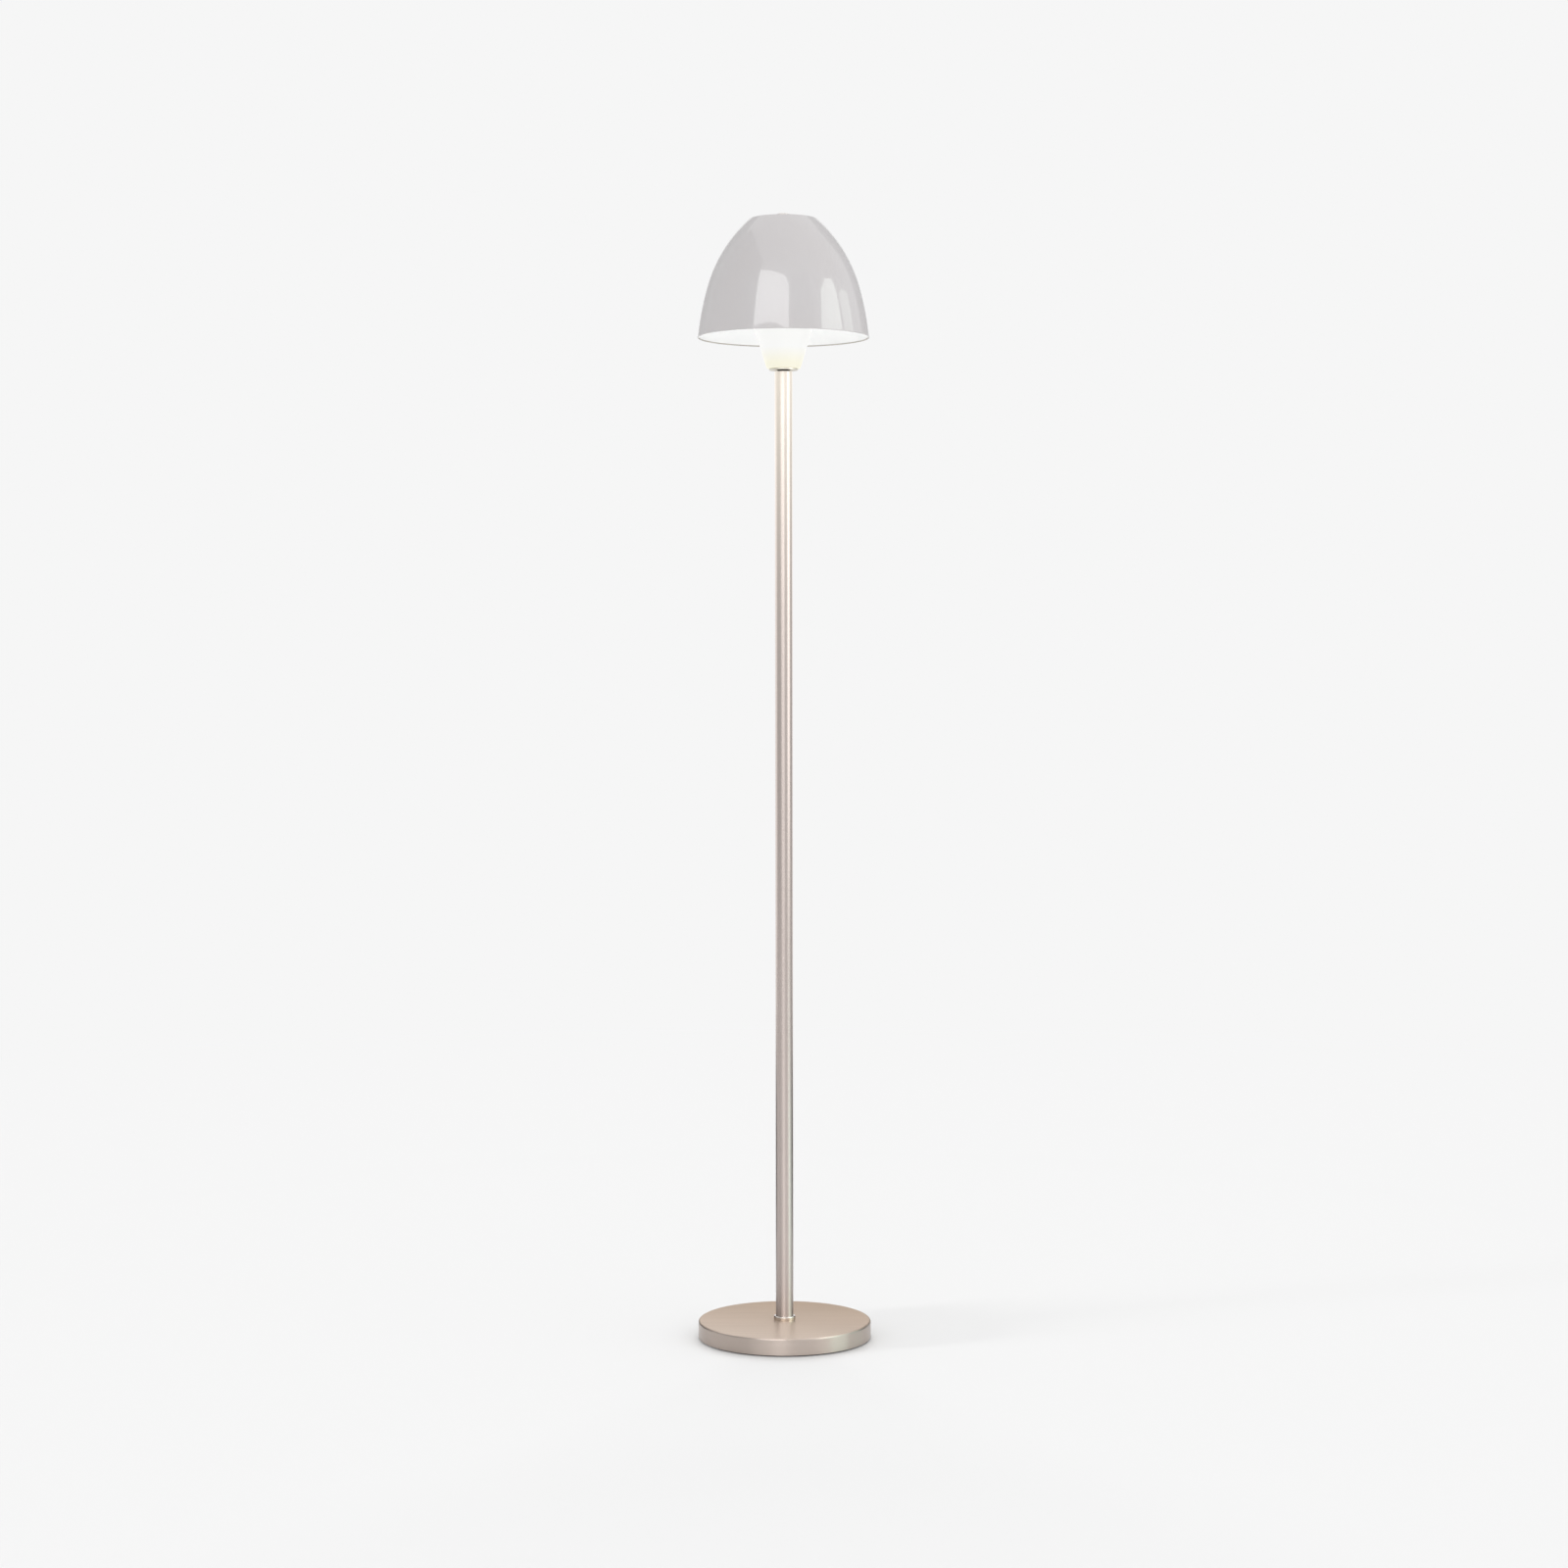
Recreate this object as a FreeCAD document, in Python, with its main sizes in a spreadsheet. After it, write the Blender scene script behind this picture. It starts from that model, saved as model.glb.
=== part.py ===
import FreeCAD, Part
import math
import os
import re

import Sketcher

# Mushroom floor lamp: a round weighted base, a slim pole in three lengths, and a spun dome
# shade that hangs on a bent carrier above an upright frosted glass cone with the bulb in it.
# Millimetres. The origin is the middle of the underside, +Z is up, and the cord inlet is at +Y.

SIZES = [
    # the base
    ("base_radius", 124.0, "outside of the spun base cover"),
    ("cover_height", 24.0, "base cover from its lower edge to its flat top"),
    ("cover_wall", 1.2, "sheet of the base cover"),
    ("cover_edge_radius", 3.0, "rounded upper edge of the base cover, outside"),
    ("pad_thickness", 2.0, "foam pad under the weight"),
    ("pad_inset", 5.0, "edge of the base cover to the edge of the pad"),
    ("weight_gap", 0.5, "weight to the inside of the base cover"),
    ("weight_chamfer", 3.0, "upper edge of the cast weight"),
    ("recess_radius", 22.0, "round recess under the weight for the foot nut"),
    ("recess_depth", 16.0, "depth of that recess"),
    # the cord inlet
    ("gland_height", 6.5, "middle of the cord inlet above the lower edge of the cover"),
    ("gland_radius", 4.8, "body of the grommet, pressed in the cover"),
    ("gland_flange", 1.7, "grommet flange beyond its body"),
    ("gland_flange_thickness", 2.0, "grommet flange inside the cover"),
    ("gland_length", 8.0, "grommet from end to end"),
    ("cord_radius", 2.5, "round two-core lead"),
    ("cord_clearance", 0.3, "lead in the grommet"),
    ("channel_gap", 0.6, "grommet flange to the channel in the weight"),
    # the lead's way through the base
    ("lead_drop", 3.5, "fall of the lead from the inlet to the middle of the base"),
    ("lead_level_length", 21.0, "level stretch of the lead behind the inlet"),
    ("lead_slope_length", 55.0, "sloping stretch of the lead"),
    ("lead_bend_radius", 7.0, "turn of the lead up into the pole"),
    ("lead_ease_radius", 100.0, "slight bends of the lead in the base"),
    ("lead_overhang", 2.0, "lead beyond the upper nipple, inside the lampholder"),
    # threaded tube and the pieces on it
    ("nipple_radius", 5.0, "outside of the threaded tube"),
    ("nipple_wall", 1.5, "wall of the threaded tube"),
    ("thread_clearance", 0.05, "radial play of a nut or a bore on the threaded tube"),
    ("hole_clearance", 0.5, "radial play of a plain hole on the threaded tube"),
    ("foot_washer_radius", 15.0, "plain washer in the base"),
    ("foot_washer_thickness", 1.5, "plain washer in the base"),
    ("lock_washer_radius", 8.5, "split spring washer in the base"),
    ("lock_washer_thickness", 1.5, "split spring washer in the base"),
    ("lock_washer_slit", 1.2, "slit in the spring washer"),
    ("foot_nut_width", 17.0, "foot nut across its flats"),
    ("foot_nut_thickness", 5.0, "foot nut"),
    ("nipple_end", 0.5, "threaded tube beyond the foot nut"),
    # the pole
    ("pole_radius", 12.5, "outside of the pole"),
    ("pole_wall", 1.2, "wall of the pole"),
    ("pole_length", 1358.0, "pole from the base to the neck, all three lengths together"),
    ("insert_length", 12.0, "threaded insert in each end of each length"),
    ("insert_clearance", 0.03, "insert in the pole"),
    ("nipple_grip", 10.0, "threaded tube inside an insert"),
    ("collar_radius", 15.5, "foot collar round the pole"),
    ("collar_height", 6.0, "foot collar"),
    ("collar_edge_radius", 1.5, "rounded upper edge of the foot collar"),
    ("collar_clearance", 0.1, "foot collar on the pole"),
    # the head, from the neck upwards
    ("neck_radius", 8.5, "dark spacer under the flange"),
    ("neck_height", 2.0, "dark spacer under the flange"),
    ("flange_radius", 20.7, "disc that carries the glass"),
    ("flange_thickness", 2.5, "disc that carries the glass"),
    ("flange_edge_radius", 0.6, "rounded edges of that disc"),
    ("gasket_radius", 14.0, "silicone washers on both sides of the glass floor"),
    ("gasket_thickness", 1.0, "silicone washers"),
    ("gasket_recess", 0.7, "depth of the lower washer's seat in the flange"),
    ("clamp_washer_radius", 13.0, "steel washer on the upper silicone washer"),
    ("clamp_washer_thickness", 1.2, "steel washer on the upper silicone washer"),
    ("head_nut_width", 14.0, "head nut across its flats"),
    ("head_nut_thickness", 3.0, "head nut"),
    # the glass cone
    ("glass_foot_radius", 24.0, "outside of the glass at its floor"),
    ("glass_lean", 17.3, "lean of the glass wall off the vertical, degrees"),
    ("glass_height", 111.0, "glass cone"),
    ("glass_wall", 3.0, "thickness of the glass wall"),
    ("glass_floor", 4.0, "thickness of the glass floor"),
    ("glass_foot_rounding", 1.5, "rounded lower edge of the glass"),
    ("glass_lip_rounding", 1.0, "fire-polished upper edge of the glass"),
    # the shade carrier
    ("bar_thickness", 1.5, "flat bar that the carrier stands in"),
    ("bar_width", 8.0, "arms of the flat bar"),
    ("bar_boss_radius", 9.0, "round middle of the flat bar"),
    ("bow_wire_radius", 1.5, "wire of the bow"),
    ("bow_foot_offset", 17.0, "lamp axis to each foot of the bow"),
    ("bow_foot_length", 12.0, "upright foot of the bow, from under the bar"),
    ("bow_flare_height", 45.0, "rise of the bow while it spreads"),
    ("bow_half_width", 33.0, "lamp axis to the upright of the bow"),
    ("bow_height", 195.0, "underside of the bar to the top of the bow's centre line"),
    ("bow_flare_bend", 12.0, "bends where the bow spreads"),
    ("bow_shoulder_bend", 30.0, "bends at the top of the bow"),
    ("ferrule_radius", 3.0, "collar on each foot of the bow"),
    ("ferrule_height", 6.0, "collar on each foot of the bow"),
    ("ferrule_clearance", 0.05, "collar and bar on the wire"),
    ("eye_radius", 7.0, "flattened eye at the top of the bow"),
    ("eye_thickness", 3.2, "flattened eye"),
    ("stud_radius", 3.0, "threaded stud in the eye"),
    ("stud_head_radius", 5.0, "riveted head of the stud, under the eye"),
    ("stud_head_height", 2.0, "riveted head of the stud"),
    ("stud_collar_radius", 6.0, "collar of the stud, on the eye"),
    ("stud_collar_height", 4.7, "collar of the stud"),
    ("stud_clearance", 0.08, "seat disc, eye and finial on the stud"),
    ("seat_radius", 20.0, "steel disc that the shade rests on"),
    ("seat_thickness", 1.5, "steel disc"),
    ("seat_pad_inset", 1.0, "edge of that disc to the edge of its rubber pad"),
    ("seat_pad_thickness", 1.0, "rubber pad"),
    # the shade
    ("rim_radius", 122.2, "outside of the shade at its rim"),
    ("shade_top_radius", 47.8, "corner where the dome meets the flat top"),
    ("shade_height", 168.0, "rim to flat top"),
    ("shade_wall", 1.2, "sheet of the shade"),
    ("rim_lean", 5.8, "lean of the dome at the rim, degrees off the vertical"),
    ("waist_lean", 16.0, "lean where the two arcs of the dome meet"),
    ("crown_lean", 48.5, "lean of the dome at the flat top"),
    ("crown_rounding", 4.0, "rounded corner of the flat top, outside"),
    ("shade_hole_clearance", 0.4, "hole in the flat top round the stud"),
    # the finial
    ("finial_washer_radius", 8.0, "nylon washer under the finial"),
    ("finial_washer_thickness", 0.8, "nylon washer under the finial"),
    ("finial_radius", 10.0, "knurled cap nut"),
    ("finial_height", 6.0, "knurled cap nut"),
    ("finial_cap", 1.2, "closed top of the cap nut over its thread"),
    ("finial_rounding", 1.6, "rounded upper edge of the cap nut"),
    ("stud_tip_gap", 0.4, "stud to the closed end of the cap nut"),
    ("flute_radius", 0.7, "flutes round the cap nut"),
    ("flute_count", 30, "flutes round the cap nut"),
    # the lampholder
    ("holder_radius", 13.0, "outside of the lampholder"),
    ("holder_wall", 1.8, "moulded wall of the lampholder"),
    ("holder_cap_height", 14.0, "lower part of the lampholder"),
    ("holder_floor", 4.0, "floor of the lower part, round the threaded tube"),
    ("holder_ledge", 1.4, "ledge that the contact block sits on"),
    ("holder_shell_height", 22.0, "upper part of the lampholder"),
    ("holder_lip", 3.0, "thickness of the lip at the mouth"),
    ("block_thickness", 5.0, "ceramic contact block"),
    ("block_clearance", 0.2, "contact block in the lampholder"),
    ("sleeve_wall", 0.5, "threaded sleeve for the bulb"),
    ("sleeve_height", 18.0, "threaded sleeve for the bulb"),
    ("contact_radius", 2.5, "centre contact"),
    ("contact_height", 3.0, "centre contact"),
    ("rivet_radius", 1.0, "shank of the centre contact in the block"),
    ("core_radius", 0.9, "each insulated core of the lead"),
    ("core_offset", 1.2, "lamp axis to each core"),
    # the bulb
    ("bulb_length", 78.0, "bulb from its tip to its crown"),
    ("bulb_globe_radius", 22.5, "opal globe"),
    ("bulb_globe_wall", 1.2, "wall of the globe"),
    ("bulb_cap_radius", 6.95, "screw cap of the bulb"),
    ("bulb_cap_clearance", 0.08, "screw cap in the threaded sleeve"),
    ("bulb_cap_height", 18.0, "screw cap of the bulb"),
    ("bulb_tip_radius", 2.4, "end contact of the bulb"),
    ("bulb_tip_height", 1.2, "end contact of the bulb"),
    ("bulb_insulator_height", 1.8, "black glass round the end contact"),
    ("bulb_insulator_radius", 5.9, "black glass round the end contact"),
    ("bulb_housing_height", 24.0, "white housing between cap and globe"),
    ("bulb_neck_radius", 9.0, "lower end of the housing"),
    ("bulb_housing_curve", 45.0, "swell of the housing, as an arc"),
]

# The dome is two arcs that meet without a corner. Their radii follow from the three leans and
# from how far the dome rises and draws in.
DERIVED = [
    ("lower_cosines", "cos(rim_lean * 1deg) - cos(waist_lean * 1deg)", "drawn in per radius, lower arc"),
    ("upper_cosines", "cos(waist_lean * 1deg) - cos(crown_lean * 1deg)", "drawn in per radius, upper arc"),
    ("lower_sines", "sin(waist_lean * 1deg) - sin(rim_lean * 1deg)", "rise per radius, lower arc"),
    ("upper_sines", "sin(crown_lean * 1deg) - sin(waist_lean * 1deg)", "rise per radius, upper arc"),
    ("arcs_share", "lower_cosines * upper_sines - upper_cosines * lower_sines", "both arcs' share"),
    ("shade_draw", "rim_radius - shade_top_radius", "rim to the corner of the flat top"),
    ("lower_arc", "(shade_draw * upper_sines - shade_height * upper_cosines) / arcs_share", "lower arc"),
    ("upper_arc", "(shade_height * lower_cosines - shade_draw * lower_sines) / arcs_share", "upper arc"),
    ("waist_radius", "rim_radius - lower_arc * lower_cosines", "where the arcs meet"),
    ("waist_height", "lower_arc * lower_sines", "where the arcs meet, above the rim"),
    ("lower_centre_across", "rim_radius - lower_arc * cos(rim_lean * 1deg)", "middle of the lower arc"),
    ("lower_centre_up", "-lower_arc * sin(rim_lean * 1deg)", "middle of the lower arc"),
    ("upper_centre_across", "waist_radius - upper_arc * cos(waist_lean * 1deg)", "middle of the upper arc"),
    ("upper_centre_up", "waist_height - upper_arc * sin(waist_lean * 1deg)", "middle of the upper arc"),
]

doc = FreeCAD.newDocument("mushroom_floor_lamp")
sheet = doc.addObject("Spreadsheet::Sheet", "sizes")
for row, (alias, content, note) in enumerate(SIZES + DERIVED, 1):
    sheet.set(f"A{row}", alias.replace("_", " "))
    sheet.set(f"B{row}", f"={content}" if isinstance(content, str) else str(content))
    sheet.setAlias(f"B{row}", alias)
    sheet.set(f"C{row}", note)
doc.recompute()

ALIASES = {alias for alias, *_ in SIZES + DERIVED}
NODES = []


# ---------------------------------------------------------------- formulas

def link(formula):
    """Write a formula of size names as an expression that reads the sheet."""
    return re.sub(r"[a-z]\w*", lambda word: f"sizes.{word[0]}" if word[0] in ALIASES else word[0], str(formula))


def value(formula):
    """Work a formula out as a plain number."""
    return float(sheet.evalExpression(link(formula)))


def total(*formulas):
    """Add formulas up."""
    return " + ".join(f"({formula})" for formula in formulas)


def less(formula, *others):
    """Take formulas off the first one."""
    return " - ".join([f"({formula})"] + [f"({other})" for other in others])


# ---------------------------------------------------------------- drawing

def new_body(label, level="0"):
    """Start a piece whose own zero lies at the given level of the lamp."""
    body = doc.addObject("PartDesign::Body", label)
    body.Label = label
    body.setExpression("Placement.Base.z", link(level))
    return body


def new_sketch(body, name, plane, offset="0"):
    """Start a sketch on one of the body's own origin planes, or at an offset from it."""
    sketch = body.newObject("Sketcher::SketchObject", name)
    origin_plane = next(item for item in body.Origin.OriginFeatures if item.Role == plane)
    sketch.AttachmentSupport = (origin_plane, [""])
    sketch.MapMode = "FlatFace"
    sketch.setExpression("AttachmentOffset.Base.z", link(offset))
    return sketch


def pin_point(sketch, geometry, end, across, up):
    """Fix a point of the sketch by two formulas."""
    for kind, formula in (("DistanceX", across), ("DistanceY", up)):
        number = sketch.addConstraint(Sketcher.Constraint(kind, -1, 1, geometry, end, value(formula)))
        sketch.setExpression(f"Constraints[{number}]", link(formula))


def arc_between(start, finish, radius, left):
    """Arc from start to finish of less than a half circle, with its centre on the left or right."""
    chord = finish - start
    normal = FreeCAD.Vector(-chord.y, chord.x, 0).normalize() * (1 if left else -1)
    rise = math.sqrt(max(radius ** 2 - chord.Length ** 2 / 4, 0))
    centre = (start + finish) * 0.5 + normal * rise
    first, last = (start, finish) if left else (finish, start)
    angles = [math.atan2(point.y - centre.y, point.x - centre.x) for point in (first, last)]
    return Part.ArcOfCircle(Part.Circle(centre, FreeCAD.Vector(0, 0, 1), radius), *angles)


def draw_path(sketch, corners, closed=True):
    """Join corners with lines. A corner is (across, up), or (across, up, radius, side) where an
    arc leads to it with its centre on that side of the way."""
    points = [FreeCAD.Vector(value(corner[0]), value(corner[1]), 0) for corner in corners]
    steps = range(len(corners)) if closed else range(1, len(corners))
    ends = []
    for step in steps:
        start, finish = points[step - 1], points[step]
        if len(corners[step]) == 2:
            number = sketch.addGeometry(Part.LineSegment(start, finish), False)
            ends.append((number, 1, 2))
            continue
        radius, left = corners[step][2], corners[step][3] == "left"
        number = sketch.addGeometry(arc_between(start, finish, value(radius), left), False)
        ends.append((number, 1, 2) if left else (number, 2, 1))
        fixed = sketch.addConstraint(Sketcher.Constraint("Radius", number, value(radius)))
        sketch.setExpression(f"Constraints[{fixed}]", link(radius))
    for (number, _, last), (following, first, _) in zip(ends, ends[1:]):
        sketch.addConstraint(Sketcher.Constraint("Coincident", number, last, following, first))
    if closed:
        sketch.addConstraint(Sketcher.Constraint("Coincident", ends[-1][0], ends[-1][2], ends[0][0], ends[0][1]))
    else:
        pin_point(sketch, ends[0][0], ends[0][1], *corners[0][:2])
    for step, (number, _, last) in zip(steps, ends):
        pin_point(sketch, number, last, *corners[step][:2])


def draw_circle(sketch, radius, across="0", up="0"):
    circle = Part.Circle(FreeCAD.Vector(value(across), value(up), 0), FreeCAD.Vector(0, 0, 1), value(radius))
    number = sketch.addGeometry(circle, False)
    pin_point(sketch, number, 3, across, up)
    fixed = sketch.addConstraint(Sketcher.Constraint("Radius", number, value(radius)))
    sketch.setExpression(f"Constraints[{fixed}]", link(radius))


# ---------------------------------------------------------------- features

def turn(body, corners, name="turned"):
    """Revolve an outline of (radius, height) corners about the body's vertical axis."""
    sketch = new_sketch(body, f"{body.Label}_{name}_outline", "XZ_Plane")
    draw_path(sketch, corners)
    feature = body.newObject("PartDesign::Revolution", f"{body.Label}_{name}")
    feature.Profile = sketch
    feature.ReferenceAxis = (sketch, ["V_Axis"])
    feature.Angle = 360
    doc.recompute()
    return body


def pad(body, sketch, height, name="raised"):
    feature = body.newObject("PartDesign::Pad", f"{body.Label}_{name}")
    feature.Profile = sketch
    feature.setExpression("Length", link(height))
    doc.recompute()
    return feature


def cut(body, sketch, depth, name, reverse=False):
    """Pocket a sketch and make sure that it took material away."""
    before = body.Shape.Volume
    feature = body.newObject("PartDesign::Pocket", f"{body.Label}_{name}")
    feature.Profile = sketch
    feature.Reversed = reverse
    feature.setExpression("Length", link(depth))
    doc.recompute()
    if body.Shape.Volume >= before:
        raise ValueError(f"{body.Label}: {name} cuts nothing")
    return feature


def round_rings(body, name, radius, rings):
    """Round circular edges, each given by its own radius and height."""
    wanted = [(value(ring), value(height)) for ring, height in rings]
    edges = []
    for number, edge in enumerate(body.Tip.Shape.Edges, 1):
        if not isinstance(edge.Curve, Part.Circle):
            continue
        size, height = edge.Curve.Radius, edge.Curve.Center.z
        if any(abs(size - ring) < 1e-4 and abs(height - level) < 1e-4 for ring, level in wanted):
            edges.append(f"Edge{number}")
    if len(edges) < len(wanted):
        raise ValueError(f"{body.Label}: {name} found {len(edges)} of {len(wanted)} edges")
    sharp = body.Tip
    feature = body.newObject("PartDesign::Fillet", f"{body.Label}_{name}")
    feature.Base = (sharp, edges)
    feature.setExpression("Radius", link(radius))
    doc.recompute()
    if "Invalid" in feature.State:
        raise ValueError(f"{body.Label}: {name} fails")


def ring(label, outer, bore, height, level):
    """Plain washer, tube or collar."""
    body = new_body(label, level)
    return turn(body, [(bore, "0"), (outer, "0"), (outer, height), (bore, height)])


def hexagon_nut(label, width, bore, thickness, level):
    body = new_body(label, level)
    sketch = new_sketch(body, f"{label}_outline", "XY_Plane")
    corners = []
    for corner in range(6):
        reach = f"{width} / sqrt(3)"
        corners.append((f"{reach} * cos({60 * corner}deg)", f"{reach} * sin({60 * corner}deg)"))
    draw_path(sketch, corners)
    draw_circle(sketch, bore)
    pad(body, sketch, thickness)
    return body


def draw_bent_path(sketch, corners):
    """Draw straight runs joined by tangent arcs. The first and last corner are (across, up), and
    each corner between them is (across, up, radius) with the radius of its bend."""
    points = [FreeCAD.Vector(value(corner[0]), value(corner[1]), 0) for corner in corners]
    runs = []
    bends = []
    start = points[0]
    for before, corner, after, (_, _, radius) in zip(points, points[1:], points[2:], corners[1:-1]):
        into = (corner - before).normalize()
        out = (after - corner).normalize()
        left = into.x * out.y - into.y * out.x > 0
        reach = value(radius) * math.tan(into.getAngle(out) / 2)
        runs.append(sketch.addGeometry(Part.LineSegment(start, corner - into * reach), False))
        arc = arc_between(corner - into * reach, corner + out * reach, value(radius), left)
        bends.append((sketch.addGeometry(arc, False), left))
        start = corner + out * reach
    runs.append(sketch.addGeometry(Part.LineSegment(start, points[-1]), False))
    for (bend, left), before, after, (across, up, radius) in zip(bends, runs, runs[1:], corners[1:-1]):
        corner = sketch.addGeometry(Part.Point(FreeCAD.Vector(value(across), value(up), 0)), True)
        pin_point(sketch, corner, 1, across, up)
        sketch.addConstraint(Sketcher.Constraint("PointOnObject", corner, 1, before))
        sketch.addConstraint(Sketcher.Constraint("PointOnObject", corner, 1, after))
        first, last = (1, 2) if left else (2, 1)
        sketch.addConstraint(Sketcher.Constraint("Tangent", before, 2, bend, first))
        sketch.addConstraint(Sketcher.Constraint("Tangent", bend, last, after, 1))
        fixed = sketch.addConstraint(Sketcher.Constraint("Radius", bend, value(radius)))
        sketch.setExpression(f"Constraints[{fixed}]", link(radius))
    pin_point(sketch, runs[0], 1, *corners[0])
    pin_point(sketch, runs[-1], 2, *corners[-1])


def sweep(body, spine, section):
    """Run a section along a path and compare the volume with the section times the length."""
    feature = body.newObject("PartDesign::AdditivePipe", f"{body.Label}_swept")
    feature.Profile = section
    feature.Spine = (spine, [f"Edge{number}" for number in range(1, len(spine.Shape.Edges) + 1)])
    doc.recompute()
    expected = Part.Face(section.Shape.Wires[0]).Area * spine.Shape.Length
    if abs(body.Shape.Volume / expected - 1) > 0.001:
        raise ValueError(f"{body.Label}: volume {body.Shape.Volume:.1f}, expected {expected:.1f}")


def node(item):
    """Hand a piece in as a node of its own."""
    NODES.append(item)
    return item


def group(label, members):
    """Hand identical pieces in as one node of separate solids."""
    compound = doc.addObject("Part::Compound", label)
    compound.Label = label
    compound.Links = members
    doc.recompute()
    return node(compound)


# ---------------------------------------------------------------- levels, from the floor up

COVER_FOOT = "pad_thickness"
COVER_TOP = total(COVER_FOOT, "cover_height")
WEIGHT_TOP = less(COVER_TOP, "cover_wall")
RECESS_TOP = total(COVER_FOOT, "recess_depth")
FOOT_WASHER = less(RECESS_TOP, "foot_washer_thickness")
LOCK_WASHER = less(FOOT_WASHER, "lock_washer_thickness")
FOOT_NUT = less(LOCK_WASHER, "foot_nut_thickness")
FOOT_NIPPLE = less(FOOT_NUT, "nipple_end")
SECTION = "pole_length / 3"
POLE_TOP = total(COVER_TOP, "pole_length")
FLANGE = total(POLE_TOP, "neck_height")
LOWER_GASKET = total(FLANGE, "flange_thickness - gasket_recess")
GLASS = total(LOWER_GASKET, "gasket_thickness")
UPPER_GASKET = total(GLASS, "glass_floor")
CLAMP_WASHER = total(UPPER_GASKET, "gasket_thickness")
BAR = total(CLAMP_WASHER, "clamp_washer_thickness")
HEAD_NUT = total(BAR, "bar_thickness")
HOLDER = total(HEAD_NUT, "head_nut_thickness")
HEAD_NIPPLE_TOP = total(HOLDER, "holder_floor")
BLOCK = total(HOLDER, "holder_cap_height - block_thickness")
SLEEVE = total(HOLDER, "holder_cap_height")
BULB = total(SLEEVE, "contact_height")
EYE = total(BAR, "bow_height - eye_thickness / 2")
SEAT = total(EYE, "eye_thickness", "stud_collar_height")
SEAT_PAD = total(SEAT, "seat_thickness")
SHADE_TOP = total(SEAT_PAD, "seat_pad_thickness", "shade_wall")
FINIAL = total(SHADE_TOP, "finial_washer_thickness")

THREAD = "nipple_radius + thread_clearance"
PLAIN_HOLE = "nipple_radius + hole_clearance"
NIPPLE_BORE = "nipple_radius - nipple_wall"
STUD_HOLE = "stud_radius + stud_clearance"


# ---------------------------------------------------------------- base

def base_pad():
    body = new_body("base_pad")
    sketch = new_sketch(body, "base_pad_outline", "XY_Plane")
    draw_circle(sketch, "base_radius - pad_inset")
    pad(body, sketch, "pad_thickness")
    return body


def base_cover():
    """Spun steel pan, open below, with a hole for the cord grommet in its rear wall."""
    body = new_body("base_cover", COVER_FOOT)
    inside = "base_radius - cover_wall"
    turn(body, [
        (inside, "0"), ("base_radius", "0"), ("base_radius", "cover_height"), (PLAIN_HOLE, "cover_height"),
        (PLAIN_HOLE, "cover_height - cover_wall"), (inside, "cover_height - cover_wall"),
    ])
    inner_edge = [(inside, "cover_height - cover_wall")]
    round_rings(body, "inner_edge", "cover_edge_radius - cover_wall", inner_edge)
    round_rings(body, "edge", "cover_edge_radius", [("base_radius", "cover_height")])
    sketch = new_sketch(body, "base_cover_inlet_outline", "XZ_Plane")
    draw_circle(sketch, "gland_radius", "0", "gland_height")
    cut(body, sketch, "base_radius + cover_wall", "inlet")
    return body


def base_weight():
    """Cast iron disc that fills the cover, with a recess for the nut and a channel for the lead."""
    body = new_body("base_weight", COVER_FOOT)
    outer = "base_radius - cover_wall - weight_gap"
    top = "cover_height - cover_wall"
    turn(body, [
        ("recess_radius", "0"), (outer, "0"), (outer, f"{top} - weight_chamfer"),
        (f"{outer} - weight_chamfer", top), (PLAIN_HOLE, top), (PLAIN_HOLE, "recess_depth"),
        ("recess_radius", "recess_depth"),
    ])
    half = "gland_radius + gland_flange + channel_gap"
    sketch = new_sketch(body, "base_weight_channel_outline", "XY_Plane")
    draw_path(sketch, [
        (f"-({half})", "0"), (half, "0"), (half, "base_radius"), (f"-({half})", "base_radius"),
    ])
    cut(body, sketch, f"gland_height + {half}", "channel", reverse=True)
    return body


def cord_grommet():
    """Bushing in the rear wall of the cover. Its flange is inside and its outer end is flush."""
    body = new_body("cord_grommet")
    bore = "cord_radius + cord_clearance"
    inner_wall = "base_radius - cover_wall"
    seat = f"sqrt(({inner_wall}) ^ 2 - (gland_radius + gland_flange) ^ 2)"
    flange = "gland_radius + gland_flange"
    height = total(COVER_FOOT, "gland_height")
    section = new_sketch(body, "cord_grommet_outline", "YZ_Plane")
    draw_path(section, [
        ("base_radius - gland_length", total(height, bore)), ("base_radius", total(height, bore)),
        ("base_radius", total(height, "gland_radius")), (seat, total(height, "gland_radius")),
        (seat, total(height, flange)), (f"{seat} - gland_flange_thickness", total(height, flange)),
        (f"{seat} - gland_flange_thickness", total(height, "gland_radius")),
        ("base_radius - gland_length", total(height, "gland_radius")),
    ])
    axis = new_sketch(body, "cord_grommet_axis", "YZ_Plane")
    draw_path(axis, [("0", height), ("base_radius", height)], closed=False)
    feature = body.newObject("PartDesign::Revolution", "cord_grommet_turned")
    feature.Profile = section
    feature.ReferenceAxis = (axis, ["Edge1"])
    feature.Angle = 360
    doc.recompute()
    return body


def foot_lock_washer():
    body = ring("foot_lock_washer", "lock_washer_radius", PLAIN_HOLE, "lock_washer_thickness", LOCK_WASHER)
    sketch = new_sketch(body, "foot_lock_washer_slit_outline", "XY_Plane")
    half = "lock_washer_slit / 2"
    draw_path(sketch, [
        (f"-{half}", "-lock_washer_radius - lock_washer_slit"), (half, "-lock_washer_radius - lock_washer_slit"),
        (half, "0"), (f"-{half}", "0"),
    ])
    cut(body, sketch, "lock_washer_thickness", "slit", reverse=True)
    return body


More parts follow.
